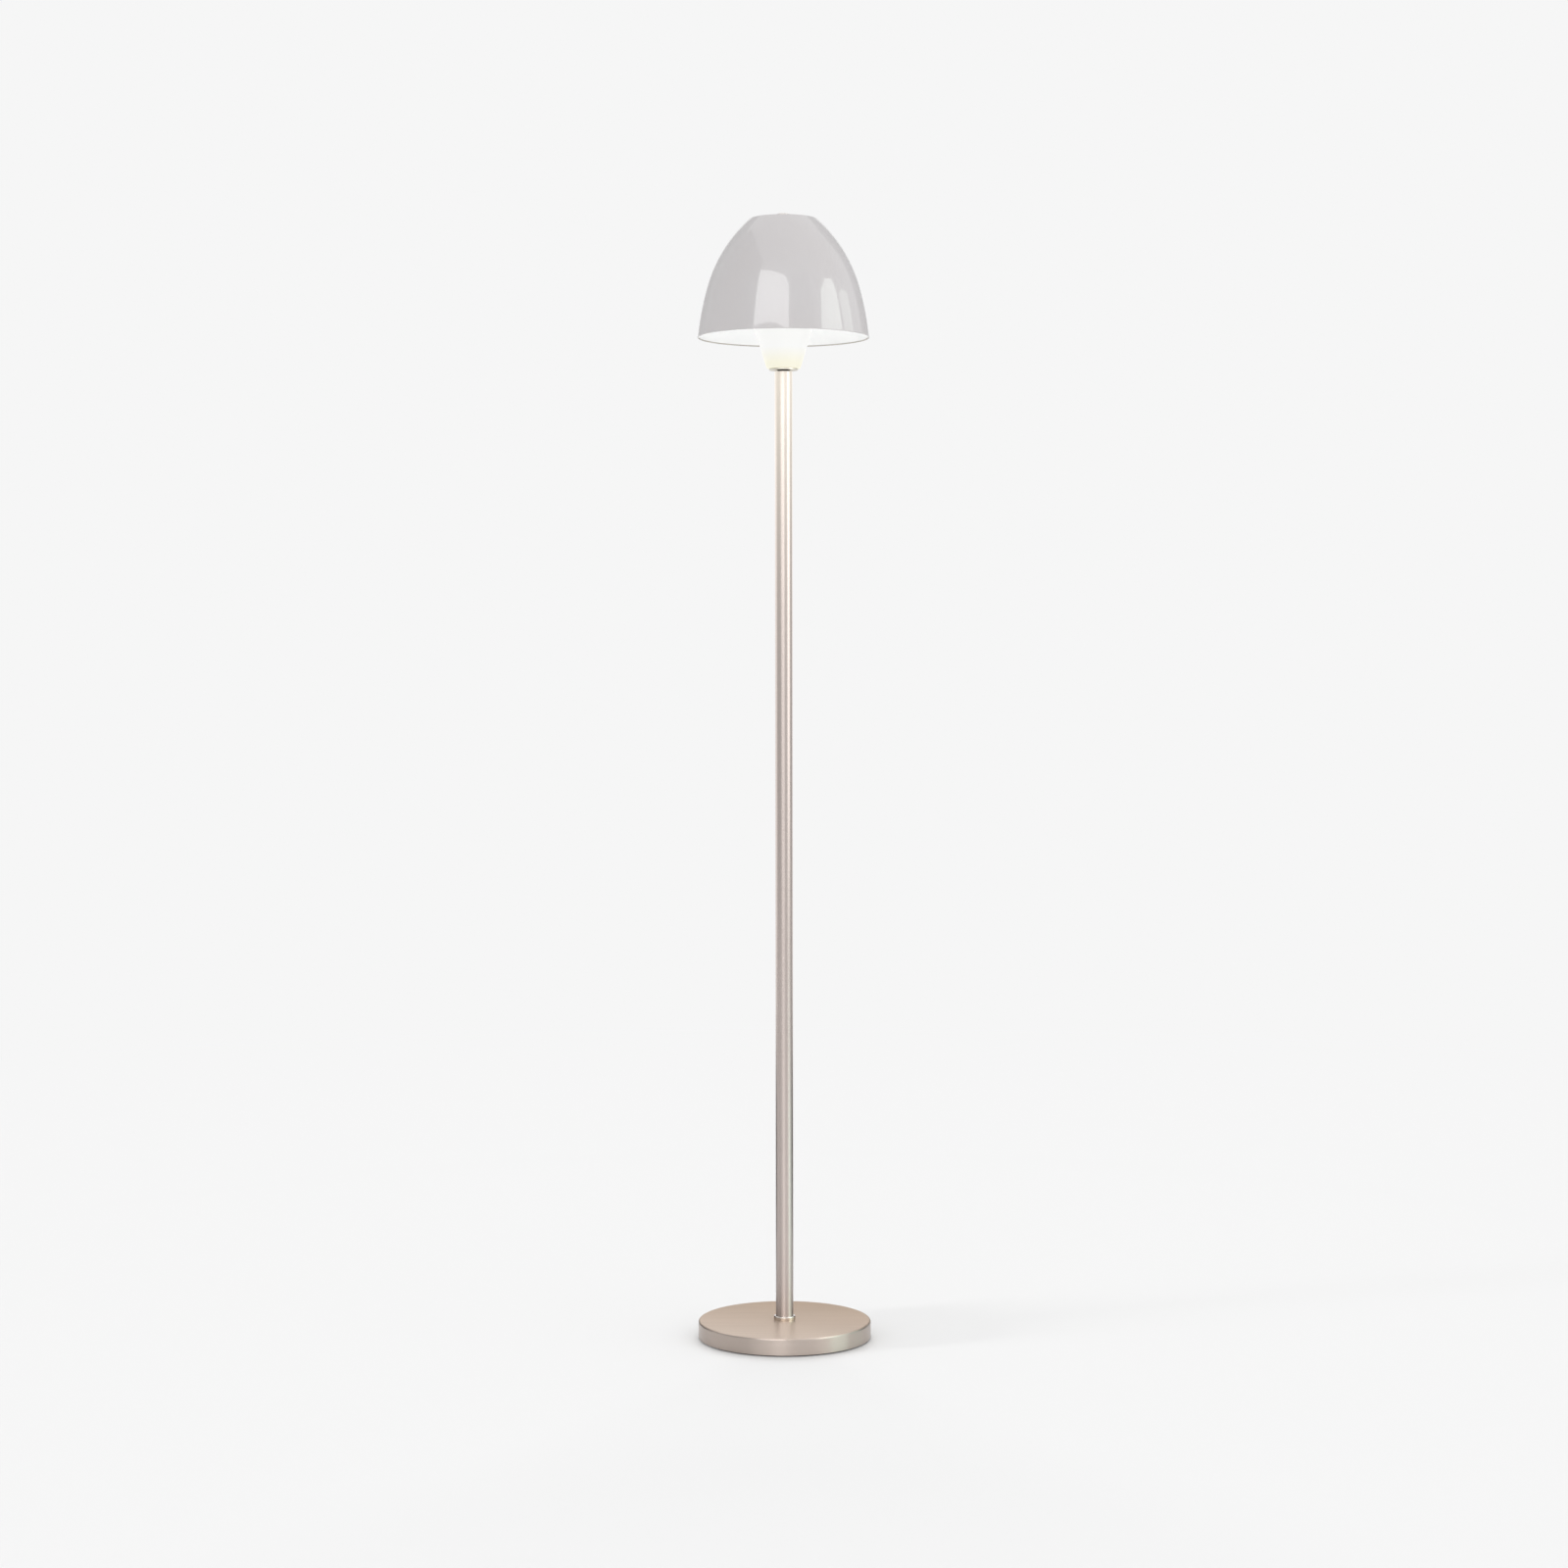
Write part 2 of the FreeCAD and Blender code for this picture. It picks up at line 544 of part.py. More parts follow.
def foot_collar():
    body = ring("foot_collar", "collar_radius", "pole_radius + collar_clearance", "collar_height", COVER_TOP)
    round_rings(body, "edge", "collar_edge_radius", [("collar_radius", "collar_height")])
    return body


def make_base():
    node(base_pad())
    node(base_cover())
    node(base_weight())
    node(cord_grommet())
    foot_nipple_length = less(total(COVER_TOP, "nipple_grip"), FOOT_NIPPLE)
    node(ring("foot_nipple", "nipple_radius", NIPPLE_BORE, foot_nipple_length, FOOT_NIPPLE))
    node(ring("foot_washer", "foot_washer_radius", PLAIN_HOLE, "foot_washer_thickness", FOOT_WASHER))
    node(foot_lock_washer())
    node(hexagon_nut("foot_nut", "foot_nut_width", THREAD, "foot_nut_thickness", FOOT_NUT))
    node(foot_collar())


# ---------------------------------------------------------------- pole

def make_pole():
    """Three equal lengths of tube. Each end holds a threaded insert, and a short length of
    threaded tube joins one insert to the next."""
    inserts = []
    nipples = []
    for number, name in enumerate(("pole_lower", "pole_middle", "pole_upper")):
        foot = total(COVER_TOP, f"{number} * {SECTION}")
        node(ring(name, "pole_radius", "pole_radius - pole_wall", SECTION, foot))
        for end, level in (("foot", foot), ("head", f"{foot} + {SECTION} - insert_length")):
            outer = "pole_radius - pole_wall - insert_clearance"
            inserts.append(ring(f"{name}_{end}_insert", outer, THREAD, "insert_length", level))
        if number:
            level = f"{foot} - nipple_grip"
            nipples.append(ring(f"{name}_nipple", "nipple_radius", NIPPLE_BORE, "2 * nipple_grip", level))
    group("pole_inserts", inserts)
    group("pole_joint_nipples", nipples)


# ---------------------------------------------------------------- head

def top_flange():
    """Disc under the glass, with a shallow seat for the lower silicone washer."""
    body = new_body("top_flange", FLANGE)
    seat = "gasket_radius + hole_clearance"
    floor = "flange_thickness - gasket_recess"
    turn(body, [
        (PLAIN_HOLE, "0"), ("flange_radius", "0"), ("flange_radius", "flange_thickness"),
        (seat, "flange_thickness"), (seat, floor), (PLAIN_HOLE, floor),
    ])
    rings = [("flange_radius", "0"), ("flange_radius", "flange_thickness")]
    round_rings(body, "edges", "flange_edge_radius", rings)
    return body


def diffuser():
    """Frosted glass cone, open at the top, with a drilled floor that is clamped to the flange."""
    body = new_body("diffuser", GLASS)
    lip = "glass_foot_radius + glass_height * tan(glass_lean * 1deg)"
    inner_lip = f"{lip} - glass_wall / cos(glass_lean * 1deg)"
    inner_foot = f"glass_foot_radius + glass_floor * tan(glass_lean * 1deg) - glass_wall / cos(glass_lean * 1deg)"
    turn(body, [
        (PLAIN_HOLE, "0"), ("glass_foot_radius", "0"), (lip, "glass_height"), (inner_lip, "glass_height"),
        (inner_foot, "glass_floor"), (PLAIN_HOLE, "glass_floor"),
    ])
    round_rings(body, "foot_edge", "glass_foot_rounding", [("glass_foot_radius", "0")])
    round_rings(body, "lip", "glass_lip_rounding", [(lip, "glass_height"), (inner_lip, "glass_height")])
    return body


def make_head():
    head_nipple_foot = less(POLE_TOP, "nipple_grip")
    head_nipple_length = less(HEAD_NIPPLE_TOP, head_nipple_foot)
    node(ring("head_nipple", "nipple_radius", NIPPLE_BORE, head_nipple_length, head_nipple_foot))
    node(ring("neck_spacer", "neck_radius", PLAIN_HOLE, "neck_height", POLE_TOP))
    node(top_flange())
    node(ring("lower_glass_washer", "gasket_radius", PLAIN_HOLE, "gasket_thickness", LOWER_GASKET))
    node(diffuser())
    node(ring("upper_glass_washer", "gasket_radius", PLAIN_HOLE, "gasket_thickness", UPPER_GASKET))
    node(ring("clamp_washer", "clamp_washer_radius", PLAIN_HOLE, "clamp_washer_thickness", CLAMP_WASHER))
    node(hexagon_nut("head_nut", "head_nut_width", THREAD, "head_nut_thickness", HEAD_NUT))


# ---------------------------------------------------------------- lampholder and bulb

def holder_cap():
    """Lower part of the lampholder, screwed on the threaded tube, with a ledge for the block."""
    body = new_body("lampholder_cap", HOLDER)
    inside = "holder_radius - holder_wall"
    ledge = "holder_cap_height - block_thickness"
    return turn(body, [
        (THREAD, "0"), ("holder_radius", "0"), ("holder_radius", "holder_cap_height"),
        (inside, "holder_cap_height"), (inside, ledge), (f"{inside} - holder_ledge", ledge),
        (f"{inside} - holder_ledge", "holder_floor"), (THREAD, "holder_floor"),
    ])


def holder_shell():
    """Upper part of the lampholder, with an inward lip at the mouth."""
    body = new_body("lampholder_shell", SLEEVE)
    inside = "holder_radius - holder_wall"
    mouth = "bulb_cap_radius + bulb_cap_clearance + sleeve_wall + block_clearance"
    shoulder = "holder_shell_height - holder_lip"
    return turn(body, [
        (inside, "0"), ("holder_radius", "0"), ("holder_radius", "holder_shell_height"),
        (mouth, "holder_shell_height"), (mouth, shoulder), (inside, shoulder),
    ])


def centre_contact():
    """Brass contact with a riveted shank in the ceramic block."""
    body = new_body("centre_contact", BLOCK)
    head = "block_thickness + contact_height"
    return turn(body, [
        ("0", "0"), ("rivet_radius", "0"), ("rivet_radius", "block_thickness"),
        ("contact_radius", "block_thickness"), ("contact_radius", head), ("0", head),
    ])


def bulb_contact():
    """End contact in its black glass insulator."""
    body = new_body("bulb_end_contact", BULB)
    top = "bulb_tip_height + bulb_insulator_height"
    return turn(body, [
        ("0", "0"), ("bulb_tip_radius", "0"), ("bulb_tip_radius", "bulb_tip_height"),
        ("bulb_insulator_radius", top), ("0", top),
    ])


def bulb_housing(foot, globe_cut):
    """White moulded housing that swells from the screw cap to the globe."""
    body = new_body("bulb_housing", foot)
    return turn(body, [
        ("0", "0"), ("bulb_neck_radius", "0"),
        (globe_cut, "bulb_housing_height", "bulb_housing_curve", "left"),
        ("0", "bulb_housing_height"),
    ])


def bulb_globe(foot, globe_cut, drop):
    """Opal globe: most of a sphere, open where it sits on the housing. Its arc is drawn in two
    pieces that meet where the sphere is widest."""
    body = new_body("bulb_globe", foot)
    inner = "(bulb_globe_radius - bulb_globe_wall)"
    inner_cut = f"sqrt({inner} ^ 2 - ({drop}) ^ 2)"
    return turn(body, [
        (globe_cut, "0"),
        ("bulb_globe_radius", drop, "bulb_globe_radius", "left"),
        ("0", f"{drop} + bulb_globe_radius", "bulb_globe_radius", "left"),
        ("0", f"{drop} + {inner}"),
        (inner, drop, inner, "right"),
        (inner_cut, "0", inner, "right"),
    ])


def make_lampholder():
    node(holder_cap())
    block_radius = "holder_radius - holder_wall - block_clearance"
    rivet_hole = "rivet_radius + thread_clearance"
    node(ring("contact_block", block_radius, rivet_hole, "block_thickness", BLOCK))
    sleeve_bore = "bulb_cap_radius + bulb_cap_clearance"
    node(ring("screw_sleeve", f"{sleeve_bore} + sleeve_wall", sleeve_bore, "sleeve_height", SLEEVE))
    node(centre_contact())
    node(holder_shell())


def make_bulb():
    """Round bulb with a small screw cap."""
    cap_foot = total(BULB, "bulb_tip_height", "bulb_insulator_height")
    housing_foot = total(cap_foot, "bulb_cap_height")
    globe_foot = total(housing_foot, "bulb_housing_height")
    globe_centre = total(BULB, "bulb_length - bulb_globe_radius")
    drop = less(globe_centre, globe_foot)
    globe_cut = f"sqrt(bulb_globe_radius ^ 2 - ({drop}) ^ 2)"
    node(bulb_contact())
    cap = new_body("bulb_screw_cap", cap_foot)
    sketch = new_sketch(cap, "bulb_screw_cap_outline", "XY_Plane")
    draw_circle(sketch, "bulb_cap_radius")
    pad(cap, sketch, "bulb_cap_height")
    node(cap)
    node(bulb_housing(housing_foot, globe_cut))
    node(bulb_globe(globe_foot, globe_cut, drop))


# ---------------------------------------------------------------- shade carrier

def carrier_bar():
    """Flat bar with round ends and a round middle, drilled for the threaded tube and the bow."""
    body = new_body("carrier_bar", BAR)
    half = "bar_width / 2"
    reach = "bow_foot_offset"
    sketch = new_sketch(body, "carrier_bar_outline", "XY_Plane")
    draw_path(sketch, [
        (f"-{reach}", f"-{half}", half, "left"), (reach, f"-{half}"), (f"{reach} + {half}", "0", half, "left"),
        (reach, half, half, "left"), (f"-{reach}", half), (f"-{reach} - {half}", "0", half, "left"),
    ])
    for side in ("-", ""):
        draw_circle(sketch, "bow_wire_radius + ferrule_clearance", f"{side}{reach}")
    pad(body, sketch, "bar_thickness", "arms")
    boss = new_sketch(body, "carrier_bar_boss_outline", "XY_Plane")
    draw_circle(boss, "bar_boss_radius")
    pad(body, boss, "bar_thickness", "boss")
    hole = new_sketch(body, "carrier_bar_hole_outline", "XY_Plane")
    draw_circle(hole, PLAIN_HOLE)
    cut(body, hole, "bar_thickness", "hole", reverse=True)
    return body


def ferrules():
    """Collars pressed on the feet of the bow, standing on the bar."""
    members = []
    for side, sign in (("left", "-"), ("right", "")):
        body = new_body(f"carrier_ferrule_{side}", HEAD_NUT)
        sketch = new_sketch(body, f"carrier_ferrule_{side}_outline", "XY_Plane")
        draw_circle(sketch, "ferrule_radius", f"{sign}bow_foot_offset")
        draw_circle(sketch, "bow_wire_radius + ferrule_clearance", f"{sign}bow_foot_offset")
        pad(body, sketch, "ferrule_height")
        members.append(body)
    return group("carrier_ferrules", members)


def carrier_bow():
    """Bent wire that rises from the bar, spreads with the glass round the bulb, closes over it and
    is flattened into a drilled eye at the top."""
    body = new_body("carrier_bow", BAR)
    side = [
        ("bow_foot_offset", "bow_foot_length", "bow_flare_bend"),
        ("bow_half_width", "bow_foot_length + bow_flare_height", "bow_flare_bend"),
        ("bow_half_width", "bow_height", "bow_shoulder_bend"),
    ]
    other_side = [(f"-{across}", up, radius) for across, up, radius in reversed(side)]
    spine = new_sketch(body, "carrier_bow_path", "XZ_Plane")
    draw_bent_path(spine, [("bow_foot_offset", "0"), *side, *other_side, ("-bow_foot_offset", "0")])
    section = new_sketch(body, "carrier_bow_section", "XY_Plane")
    draw_circle(section, "bow_wire_radius", "bow_foot_offset")
    doc.recompute()
    sweep(body, spine, section)
    eye = new_sketch(body, "carrier_bow_eye_outline", "XY_Plane", "bow_height - eye_thickness / 2")
    draw_circle(eye, "eye_radius")
    pad(body, eye, "eye_thickness", "eye")
    hole = new_sketch(body, "carrier_bow_eye_hole", "XY_Plane", "bow_height - eye_thickness")
    draw_circle(hole, STUD_HOLE)
    cut(body, hole, "2 * eye_thickness", "hole", reverse=True)
    return body


def carrier_stud():
    """Stud riveted in the eye, with a collar that carries the seat disc and a thread on top."""
    foot = less(EYE, "stud_head_height")
    body = new_body("carrier_stud", foot)
    eye = "stud_head_height + eye_thickness"
    seat = f"{eye} + stud_collar_height"
    tip = less(total(FINIAL, "finial_height - finial_cap - stud_tip_gap"), foot)
    return turn(body, [
        ("0", "0"), ("stud_head_radius", "0"), ("stud_head_radius", "stud_head_height"),
        ("stud_radius", "stud_head_height"), ("stud_radius", eye), ("stud_collar_radius", eye),
        ("stud_collar_radius", seat), ("stud_radius", seat), ("stud_radius", tip), ("0", tip),
    ])


def make_carrier():
    node(carrier_bar())
    ferrules()
    node(carrier_bow())
    node(carrier_stud())
    node(ring("shade_seat", "seat_radius", STUD_HOLE, "seat_thickness", SEAT))
    node(ring("shade_seat_pad", "seat_radius - seat_pad_inset", STUD_HOLE, "seat_pad_thickness", SEAT_PAD))


# ---------------------------------------------------------------- shade and finial

def shade():
    """Spun dome of even thickness: two arcs, a rounded corner and a flat top with a hole."""
    body = new_body("shade", less(SHADE_TOP, "shade_height"))
    hole = "stud_radius + shade_hole_clearance"
    lower = "(lower_arc - shade_wall)"
    upper = "(upper_arc - shade_wall)"
    inner_rim = f"lower_centre_across + sqrt({lower} ^ 2 - lower_centre_up ^ 2)"
    inner_waist = f"lower_centre_across + {lower} * cos(waist_lean * 1deg)"
    inner_waist_height = f"lower_centre_up + {lower} * sin(waist_lean * 1deg)"
    ceiling = "shade_height - shade_wall"
    inner_top = f"upper_centre_across + sqrt({upper} ^ 2 - ({ceiling} - upper_centre_up) ^ 2)"
    turn(body, [
        ("rim_radius", "0"), ("waist_radius", "waist_height", "lower_arc", "left"),
        ("shade_top_radius", "shade_height", "upper_arc", "left"), (hole, "shade_height"),
        (hole, ceiling), (inner_top, ceiling), (inner_waist, inner_waist_height, upper, "right"),
        (inner_rim, "0", lower, "right"),
    ])
    round_rings(body, "inner_crown", "crown_rounding - shade_wall", [(inner_top, ceiling)])
    round_rings(body, "crown", "crown_rounding", [("shade_top_radius", "shade_height")])
    return body


def finial():
    """Low cap nut with flutes round its edge and a blind thread."""
    body = new_body("finial", FINIAL)
    depth = "finial_height - finial_cap"
    turn(body, [
        (STUD_HOLE, "0"), ("finial_radius", "0"), ("finial_radius", "finial_height"),
        ("0", "finial_height"), ("0", depth), (STUD_HOLE, depth),
    ])
    round_rings(body, "edge", "finial_rounding", [("finial_radius", "finial_height")])
    sketch = new_sketch(body, "finial_flute_outline", "XY_Plane")
    draw_circle(sketch, "flute_radius", "finial_radius")
    flute = cut(body, sketch, "finial_height", "flute", reverse=True)
    pattern = body.newObject("PartDesign::PolarPattern", "finial_flutes")
    pattern.Originals = [flute]
    upright = next(item for item in body.Origin.OriginFeatures if item.Role == "Z_Axis")
    pattern.Axis = (upright, [""])
    pattern.Angle = 360
    pattern.setExpression("Occurrences", link("flute_count"))
    body.Tip = pattern
    doc.recompute()
    return body


def make_shade():
    node(shade())
    washer_bore = "stud_radius + shade_hole_clearance"
    node(ring("finial_washer", "finial_washer_radius", washer_bore, "finial_washer_thickness", SHADE_TOP))
    node(finial())


# ---------------------------------------------------------------- the lead inside the lamp

def inner_lead():
    """Lead from the grommet through the channel in the weight and up the pole to the lampholder."""
    body = new_body("inner_lead")
    inlet = total(COVER_FOOT, "gland_height")
    start = "base_radius - gland_length"
    spine = new_sketch(body, "inner_lead_path", "YZ_Plane")
    draw_bent_path(spine, [
        (start, inlet),
        (f"{start} - lead_level_length", inlet, "lead_ease_radius"),
        (f"{start} - lead_level_length - lead_slope_length", f"{inlet} - lead_drop", "lead_ease_radius"),
        ("0", f"{inlet} - lead_drop", "lead_bend_radius"),
        ("0", total(HEAD_NIPPLE_TOP, "lead_overhang")),
    ])
    section = new_sketch(body, "inner_lead_section", "XZ_Plane", f"-({start})")
    draw_circle(section, "cord_radius", "0", inlet)
    doc.recompute()
    sweep(body, spine, section)
    return body


def lead_cores():
    """The two insulated cores between the end of the lead and the contact block."""
    foot = total(HEAD_NIPPLE_TOP, "lead_overhang")
    members = []
    for side, sign in (("left", "-"), ("right", "")):
        body = new_body(f"lead_core_{side}", foot)
        sketch = new_sketch(body, f"lead_core_{side}_outline", "XY_Plane")
        draw_circle(sketch, "core_radius", f"{sign}core_offset")
        pad(body, sketch, less(BLOCK, foot))
        members.append(body)
    return group("lead_cores", members)


def make_lead():
    node(inner_lead())
    lead_cores()


# ---------------------------------------------------------------- build and write

def check_document():
    """Stop if any object of the document failed or any piece has no sound shape."""
    for item in doc.Objects:
        if "Invalid" in item.State or "Error" in item.State:
            raise ValueError(f"{item.Label}: {item.State}")
    for item in NODES:
        if item.Shape.isNull() or not item.Shape.isValid():
            raise ValueError(f"{item.Label}: no valid shape")


make_base()
make_pole()
make_head()
make_lampholder()
make_bulb()
make_carrier()
make_shade()
make_lead()
doc.recompute()
check_document()

os.makedirs("parts", exist_ok=True)
for item in NODES:
    item.Shape.exportStep(f"parts/{item.Label}.step")
    print(f"{item.Label}: {len(item.Shape.Solids)} solid(s), {item.Shape.Volume:.0f} mm3")
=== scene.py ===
# %% [markdown]
# # A mushroom floor lamp, dressed and lit
#
# The real lamp is a spun steel base over a cast weight, a slim nickel-plated pole, a frosted glass
# cone with a bulb in it, and a painted dome shade above. Its pieces arrive as a frame of solids at
# their real size. They could be modelled again here, but two models would drift apart, so this
# lesson adds only finishes, two small trims and light: how satin nickel differs from polished
# nickel, how a lit frosted cone glows, and how a gloss shade shows the windows round it.

# %% Load the frame
import math

import bmesh
import bpy
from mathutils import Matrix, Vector


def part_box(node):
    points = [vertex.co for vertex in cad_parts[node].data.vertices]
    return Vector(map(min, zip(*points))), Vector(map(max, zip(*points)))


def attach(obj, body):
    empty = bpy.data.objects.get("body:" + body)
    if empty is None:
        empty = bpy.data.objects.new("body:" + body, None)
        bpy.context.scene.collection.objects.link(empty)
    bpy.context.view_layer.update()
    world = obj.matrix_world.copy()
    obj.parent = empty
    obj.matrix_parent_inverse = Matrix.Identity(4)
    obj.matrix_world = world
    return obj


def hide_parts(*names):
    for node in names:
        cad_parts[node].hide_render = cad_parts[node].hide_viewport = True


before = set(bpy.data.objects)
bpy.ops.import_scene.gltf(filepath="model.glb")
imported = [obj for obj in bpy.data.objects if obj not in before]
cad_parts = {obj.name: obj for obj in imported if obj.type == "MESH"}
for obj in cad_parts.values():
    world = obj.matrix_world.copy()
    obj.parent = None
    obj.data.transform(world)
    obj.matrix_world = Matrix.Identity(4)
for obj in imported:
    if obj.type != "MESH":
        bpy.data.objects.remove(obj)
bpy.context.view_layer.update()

# %% [markdown]
# ## Measures read from the frame
#
# Each finish that changes over a piece, such as the glow that fades down the pole, needs to know
# where the piece is. These places could be typed in, but then a taller lamp would lose its glow.
# Read from the solids, they keep the finish on the piece when the lamp is built in another size.

# %% Places on the lamp
BASE_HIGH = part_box("base_cover")[1]
BASE_RADIUS = BASE_HIGH.x
POLE_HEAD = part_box("pole_upper")[1].z
POLE_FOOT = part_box("pole_lower")[0].z
POLE_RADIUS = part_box("pole_lower")[1].x
GLASS_LOW, GLASS_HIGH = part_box("diffuser")
SHADE_LOW, SHADE_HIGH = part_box("shade")
RIM_RADIUS = SHADE_HIGH.x
print(f"pole {POLE_FOOT:.3f} to {POLE_HEAD:.3f} m, rim at {SHADE_LOW.z:.3f} m, radius {RIM_RADIUS:.4f} m")

# %% [markdown]
# ## The camera
#
# A camera could be moved by hand until the picture looks right. These numbers were solved from the
# outlines of base, pole, disc and shade, before anything was lit, because every later judgement is
# made through it. They fix how far away it stands, how high, how far it tips down, its lens and a
# hair of roll. With a long lens and a far stand the rim is seen a little from below and the base a
# little from above, at the same time.

# %% Camera
CAMERA_DISTANCE = 4.2146
CAMERA_HEIGHT = 0.9677
CAMERA_TILT_DOWN = 0.04036
CAMERA_ROLL = -0.0012
CAMERA_SEES_TO = 100.0
LENS_MM = 67.73
SENSOR_MM = 36.0

camera_data = bpy.data.cameras.new("camera")
camera_data.sensor_width = SENSOR_MM
camera_data.lens = LENS_MM
camera_data.clip_end = CAMERA_SEES_TO
camera = bpy.data.objects.new("camera", camera_data)
camera.location = (0, -CAMERA_DISTANCE, CAMERA_HEIGHT)
camera.rotation_euler = (math.pi / 2 - CAMERA_TILT_DOWN, 0, 0)
camera.rotation_euler.rotate_axis("Z", CAMERA_ROLL)
bpy.context.scene.collection.objects.link(camera)
bpy.context.scene.camera = camera
bpy.context.scene.view_settings.view_transform = "Standard"
print("camera", tuple(round(part, 3) for part in camera.location))

# %% [markdown]
# ## Shader maths that reads like maths
#
# A node tree is a formula drawn with boxes. It can be built box by box, but the formula gets lost
# among the links. Wrapping a socket in a small class lets Python write the same formula as text:
# `fade * 0.5 + 0.2` adds two Math nodes. The class also holds the reflected forms, so that
# `1 - mask` works.

# %% Sockets with arithmetic
class Wire:
    """An output socket of a finish, with arithmetic."""

    def __init__(self, finish, socket):
        self.finish = finish
        self.socket = socket

    def math(self, operation, *values):
        """A Math node in the same finish. It works on the values alone."""
        return self.finish.node("Math", {"operation": operation}, *values)

    def __add__(self, other):
        return self.math("ADD", self, other)

    def __radd__(self, other):
        return self.math("ADD", other, self)

    def __sub__(self, other):
        return self.math("SUBTRACT", self, other)

    def __rsub__(self, other):
        return self.math("SUBTRACT", other, self)

    def __mul__(self, other):
        return self.math("MULTIPLY", self, other)

    def __rmul__(self, other):
        return self.math("MULTIPLY", other, self)

    def __truediv__(self, other):
        return self.math("DIVIDE", self, other)

    def __pow__(self, other):
        return self.math("POWER", self, other)

    def clamped(self):
        return self.finish.node("Clamp", {}, self)

    def above(self, edge, softness):
        """0 below the edge and 1 above it, with a soft step."""
        return ((self - edge) / softness + 0.5).clamped()

    def between(self, low, high):
        """Turn 0 to 1 into low to high."""
        return self * (high - low) + low

# %% [markdown]
# A finish is one material with its node tree. Anything that isn't plain arithmetic comes from its
# one node method, which takes the node's type, its settings and what goes into its sockets. The
# others are short names for nodes that most finishes need: where a point is on its piece, which way
# the surface faces, a noise, a mix of two colours and a bump.

# %% Finishes
class Finish:
    """One material. Its node method adds any node and returns one of its outputs as a Wire."""

    def __init__(self, name, **constants):
        self.material = bpy.data.materials.new(name)
        self.material.use_nodes = True
        self.tree = self.material.node_tree
        self.shader = self.tree.nodes["Principled BSDF"]
        for socket, amount in constants.items():
            self.shader.inputs[socket.replace("_", " ")].default_value = amount

    def node(self, kind, settings=None, *values, output=0, **named):
        made = self.tree.nodes.new(f"ShaderNode{kind}")
        for name, setting in (settings or {}).items():
            setattr(made, name, setting)
        for place, value in [*enumerate(values), *named.items()]:
            key = place if isinstance(place, int) else place.replace("_", " ")
            self.plug(made.inputs[key], value)
        return Wire(self, made.outputs[output])

    def plug(self, socket, value):
        if isinstance(value, Wire):
            self.tree.links.new(value.socket, socket)
        else:
            socket.default_value = value

    def feed(self, **sockets):
        """Connect wires to the Principled shader."""
        for name, value in sockets.items():
            self.plug(self.shader.inputs[name.replace("_", " ")], value)

    def own_shader(self):
        return Wire(self, self.shader.outputs[0])

    def show(self, shader):
        """Put another shader in the place of the material's own."""
        self.plug(self.tree.nodes["Material Output"].inputs["Surface"], shader)

    def where(self):
        """Where the point is on the piece, as one vector in metres."""
        return self.node("TexCoord", output="Object")

    def place(self):
        """The same as three wires: across, along and up."""
        return self.split(self.where())

    def facing(self):
        """Which way the surface faces."""
        return self.node("NewGeometry", output="Normal")

    def split(self, vector):
        parts = self.node("SeparateXYZ", {}, vector).socket.node.outputs
        return [Wire(self, part) for part in parts]

    def join(self, across, along, up):
        return self.node("CombineXYZ", {}, across, along, up)

    def noise(self, vector, scale, detail, roughness):
        return self.node("TexNoise", {"noise_dimensions": "3D"}, Vector=vector, Scale=scale,
                         Detail=detail, Roughness=roughness)

    def blend(self, share, first, second):
        """Mix two colours by a share."""
        made = self.tree.nodes.new("ShaderNodeMix")
        made.data_type = "RGBA"
        self.plug(made.inputs["Factor"], share)
        colours = [socket for socket in made.inputs if socket.type == "RGBA"]
        self.plug(colours[0], first)
        self.plug(colours[1], second)
        return Wire(self, next(socket for socket in made.outputs if socket.type == "RGBA"))

    def bump(self, height, strength, distance):
        self.feed(Normal=self.node("Bump", {}, Height=height, Strength=strength, Distance=distance))

# %% [markdown]
# Blender's colour sockets hold amounts of light, and a screen shows a curve of them: a grey that
# looks half bright is only about a fifth of full light. Colours could be typed as light, but
# nobody can read that off a sample, so they are given as they look and turned into light here.

# %% Colours and dressing
BLACK = (0.0, 0.0, 0.0, 1.0)


def colour(red, green, blue):
    """A colour given as it looks on screen, 0 to 255, turned into the light that makes it."""
    parts = [part / 255 for part in (red, green, blue)]
    linear = [part / 12.92 if part <= 0.04045 else ((part + 0.055) / 1.055) ** 2.4 for part in parts]
    return (*linear, 1.0)


def dress(finish, *nodes):
    """Give a finish to CAD nodes."""
    for name in nodes:
        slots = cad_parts[name].data.materials
        slots.clear()
        slots.append(finish.material)
    print(f"{finish.material.name}: {', '.join(nodes)}")


print(f"a grey that looks half bright is {colour(128, 128, 128)[0]:.2f} of full light")

# %% [markdown]
# ## Satin nickel
#
# The pole and the base are nickel-plated and brushed. Fine parallel scratches spread a reflection
# across themselves and hardly at all along themselves, so the scratches go round the pole: what it
# mirrors is drawn out up and down, and a window far above still shows as a clean stripe all the
# way. Blender's Anisotropic setting does that, and its default direction runs round the object's
# own upright axis. A scanned picture of brushed metal could give the scratches, but it would have
# to be wrapped round the pole and would show its edges. One noise needs no wrapping: squeezed
# across the scratches and stretched along them, it gives the colour, the uneven roughness and the
# height.

# %% Satin nickel on the pole
NICKEL = colour(202, 191, 186)
NICKEL_WORN = colour(195, 183, 177)
SCRATCHES_PER_METRE = 2400
ALONG_SCRATCH_PER_METRE = 14
SPREAD_UP_AND_DOWN = {"Anisotropic": 0.9, "Anisotropic_Rotation": 0.25}
# The pole is no lamp. Its glow is painted light: an emission that stands in for the light of the glass
# falling on its head.
PAINTED_GLOW_ON_POLE = (0.49, 0.46, 0.39, 1.0)
GLOW_FADES_OVER = 0.225
GLOW_STEEPNESS = 1.3


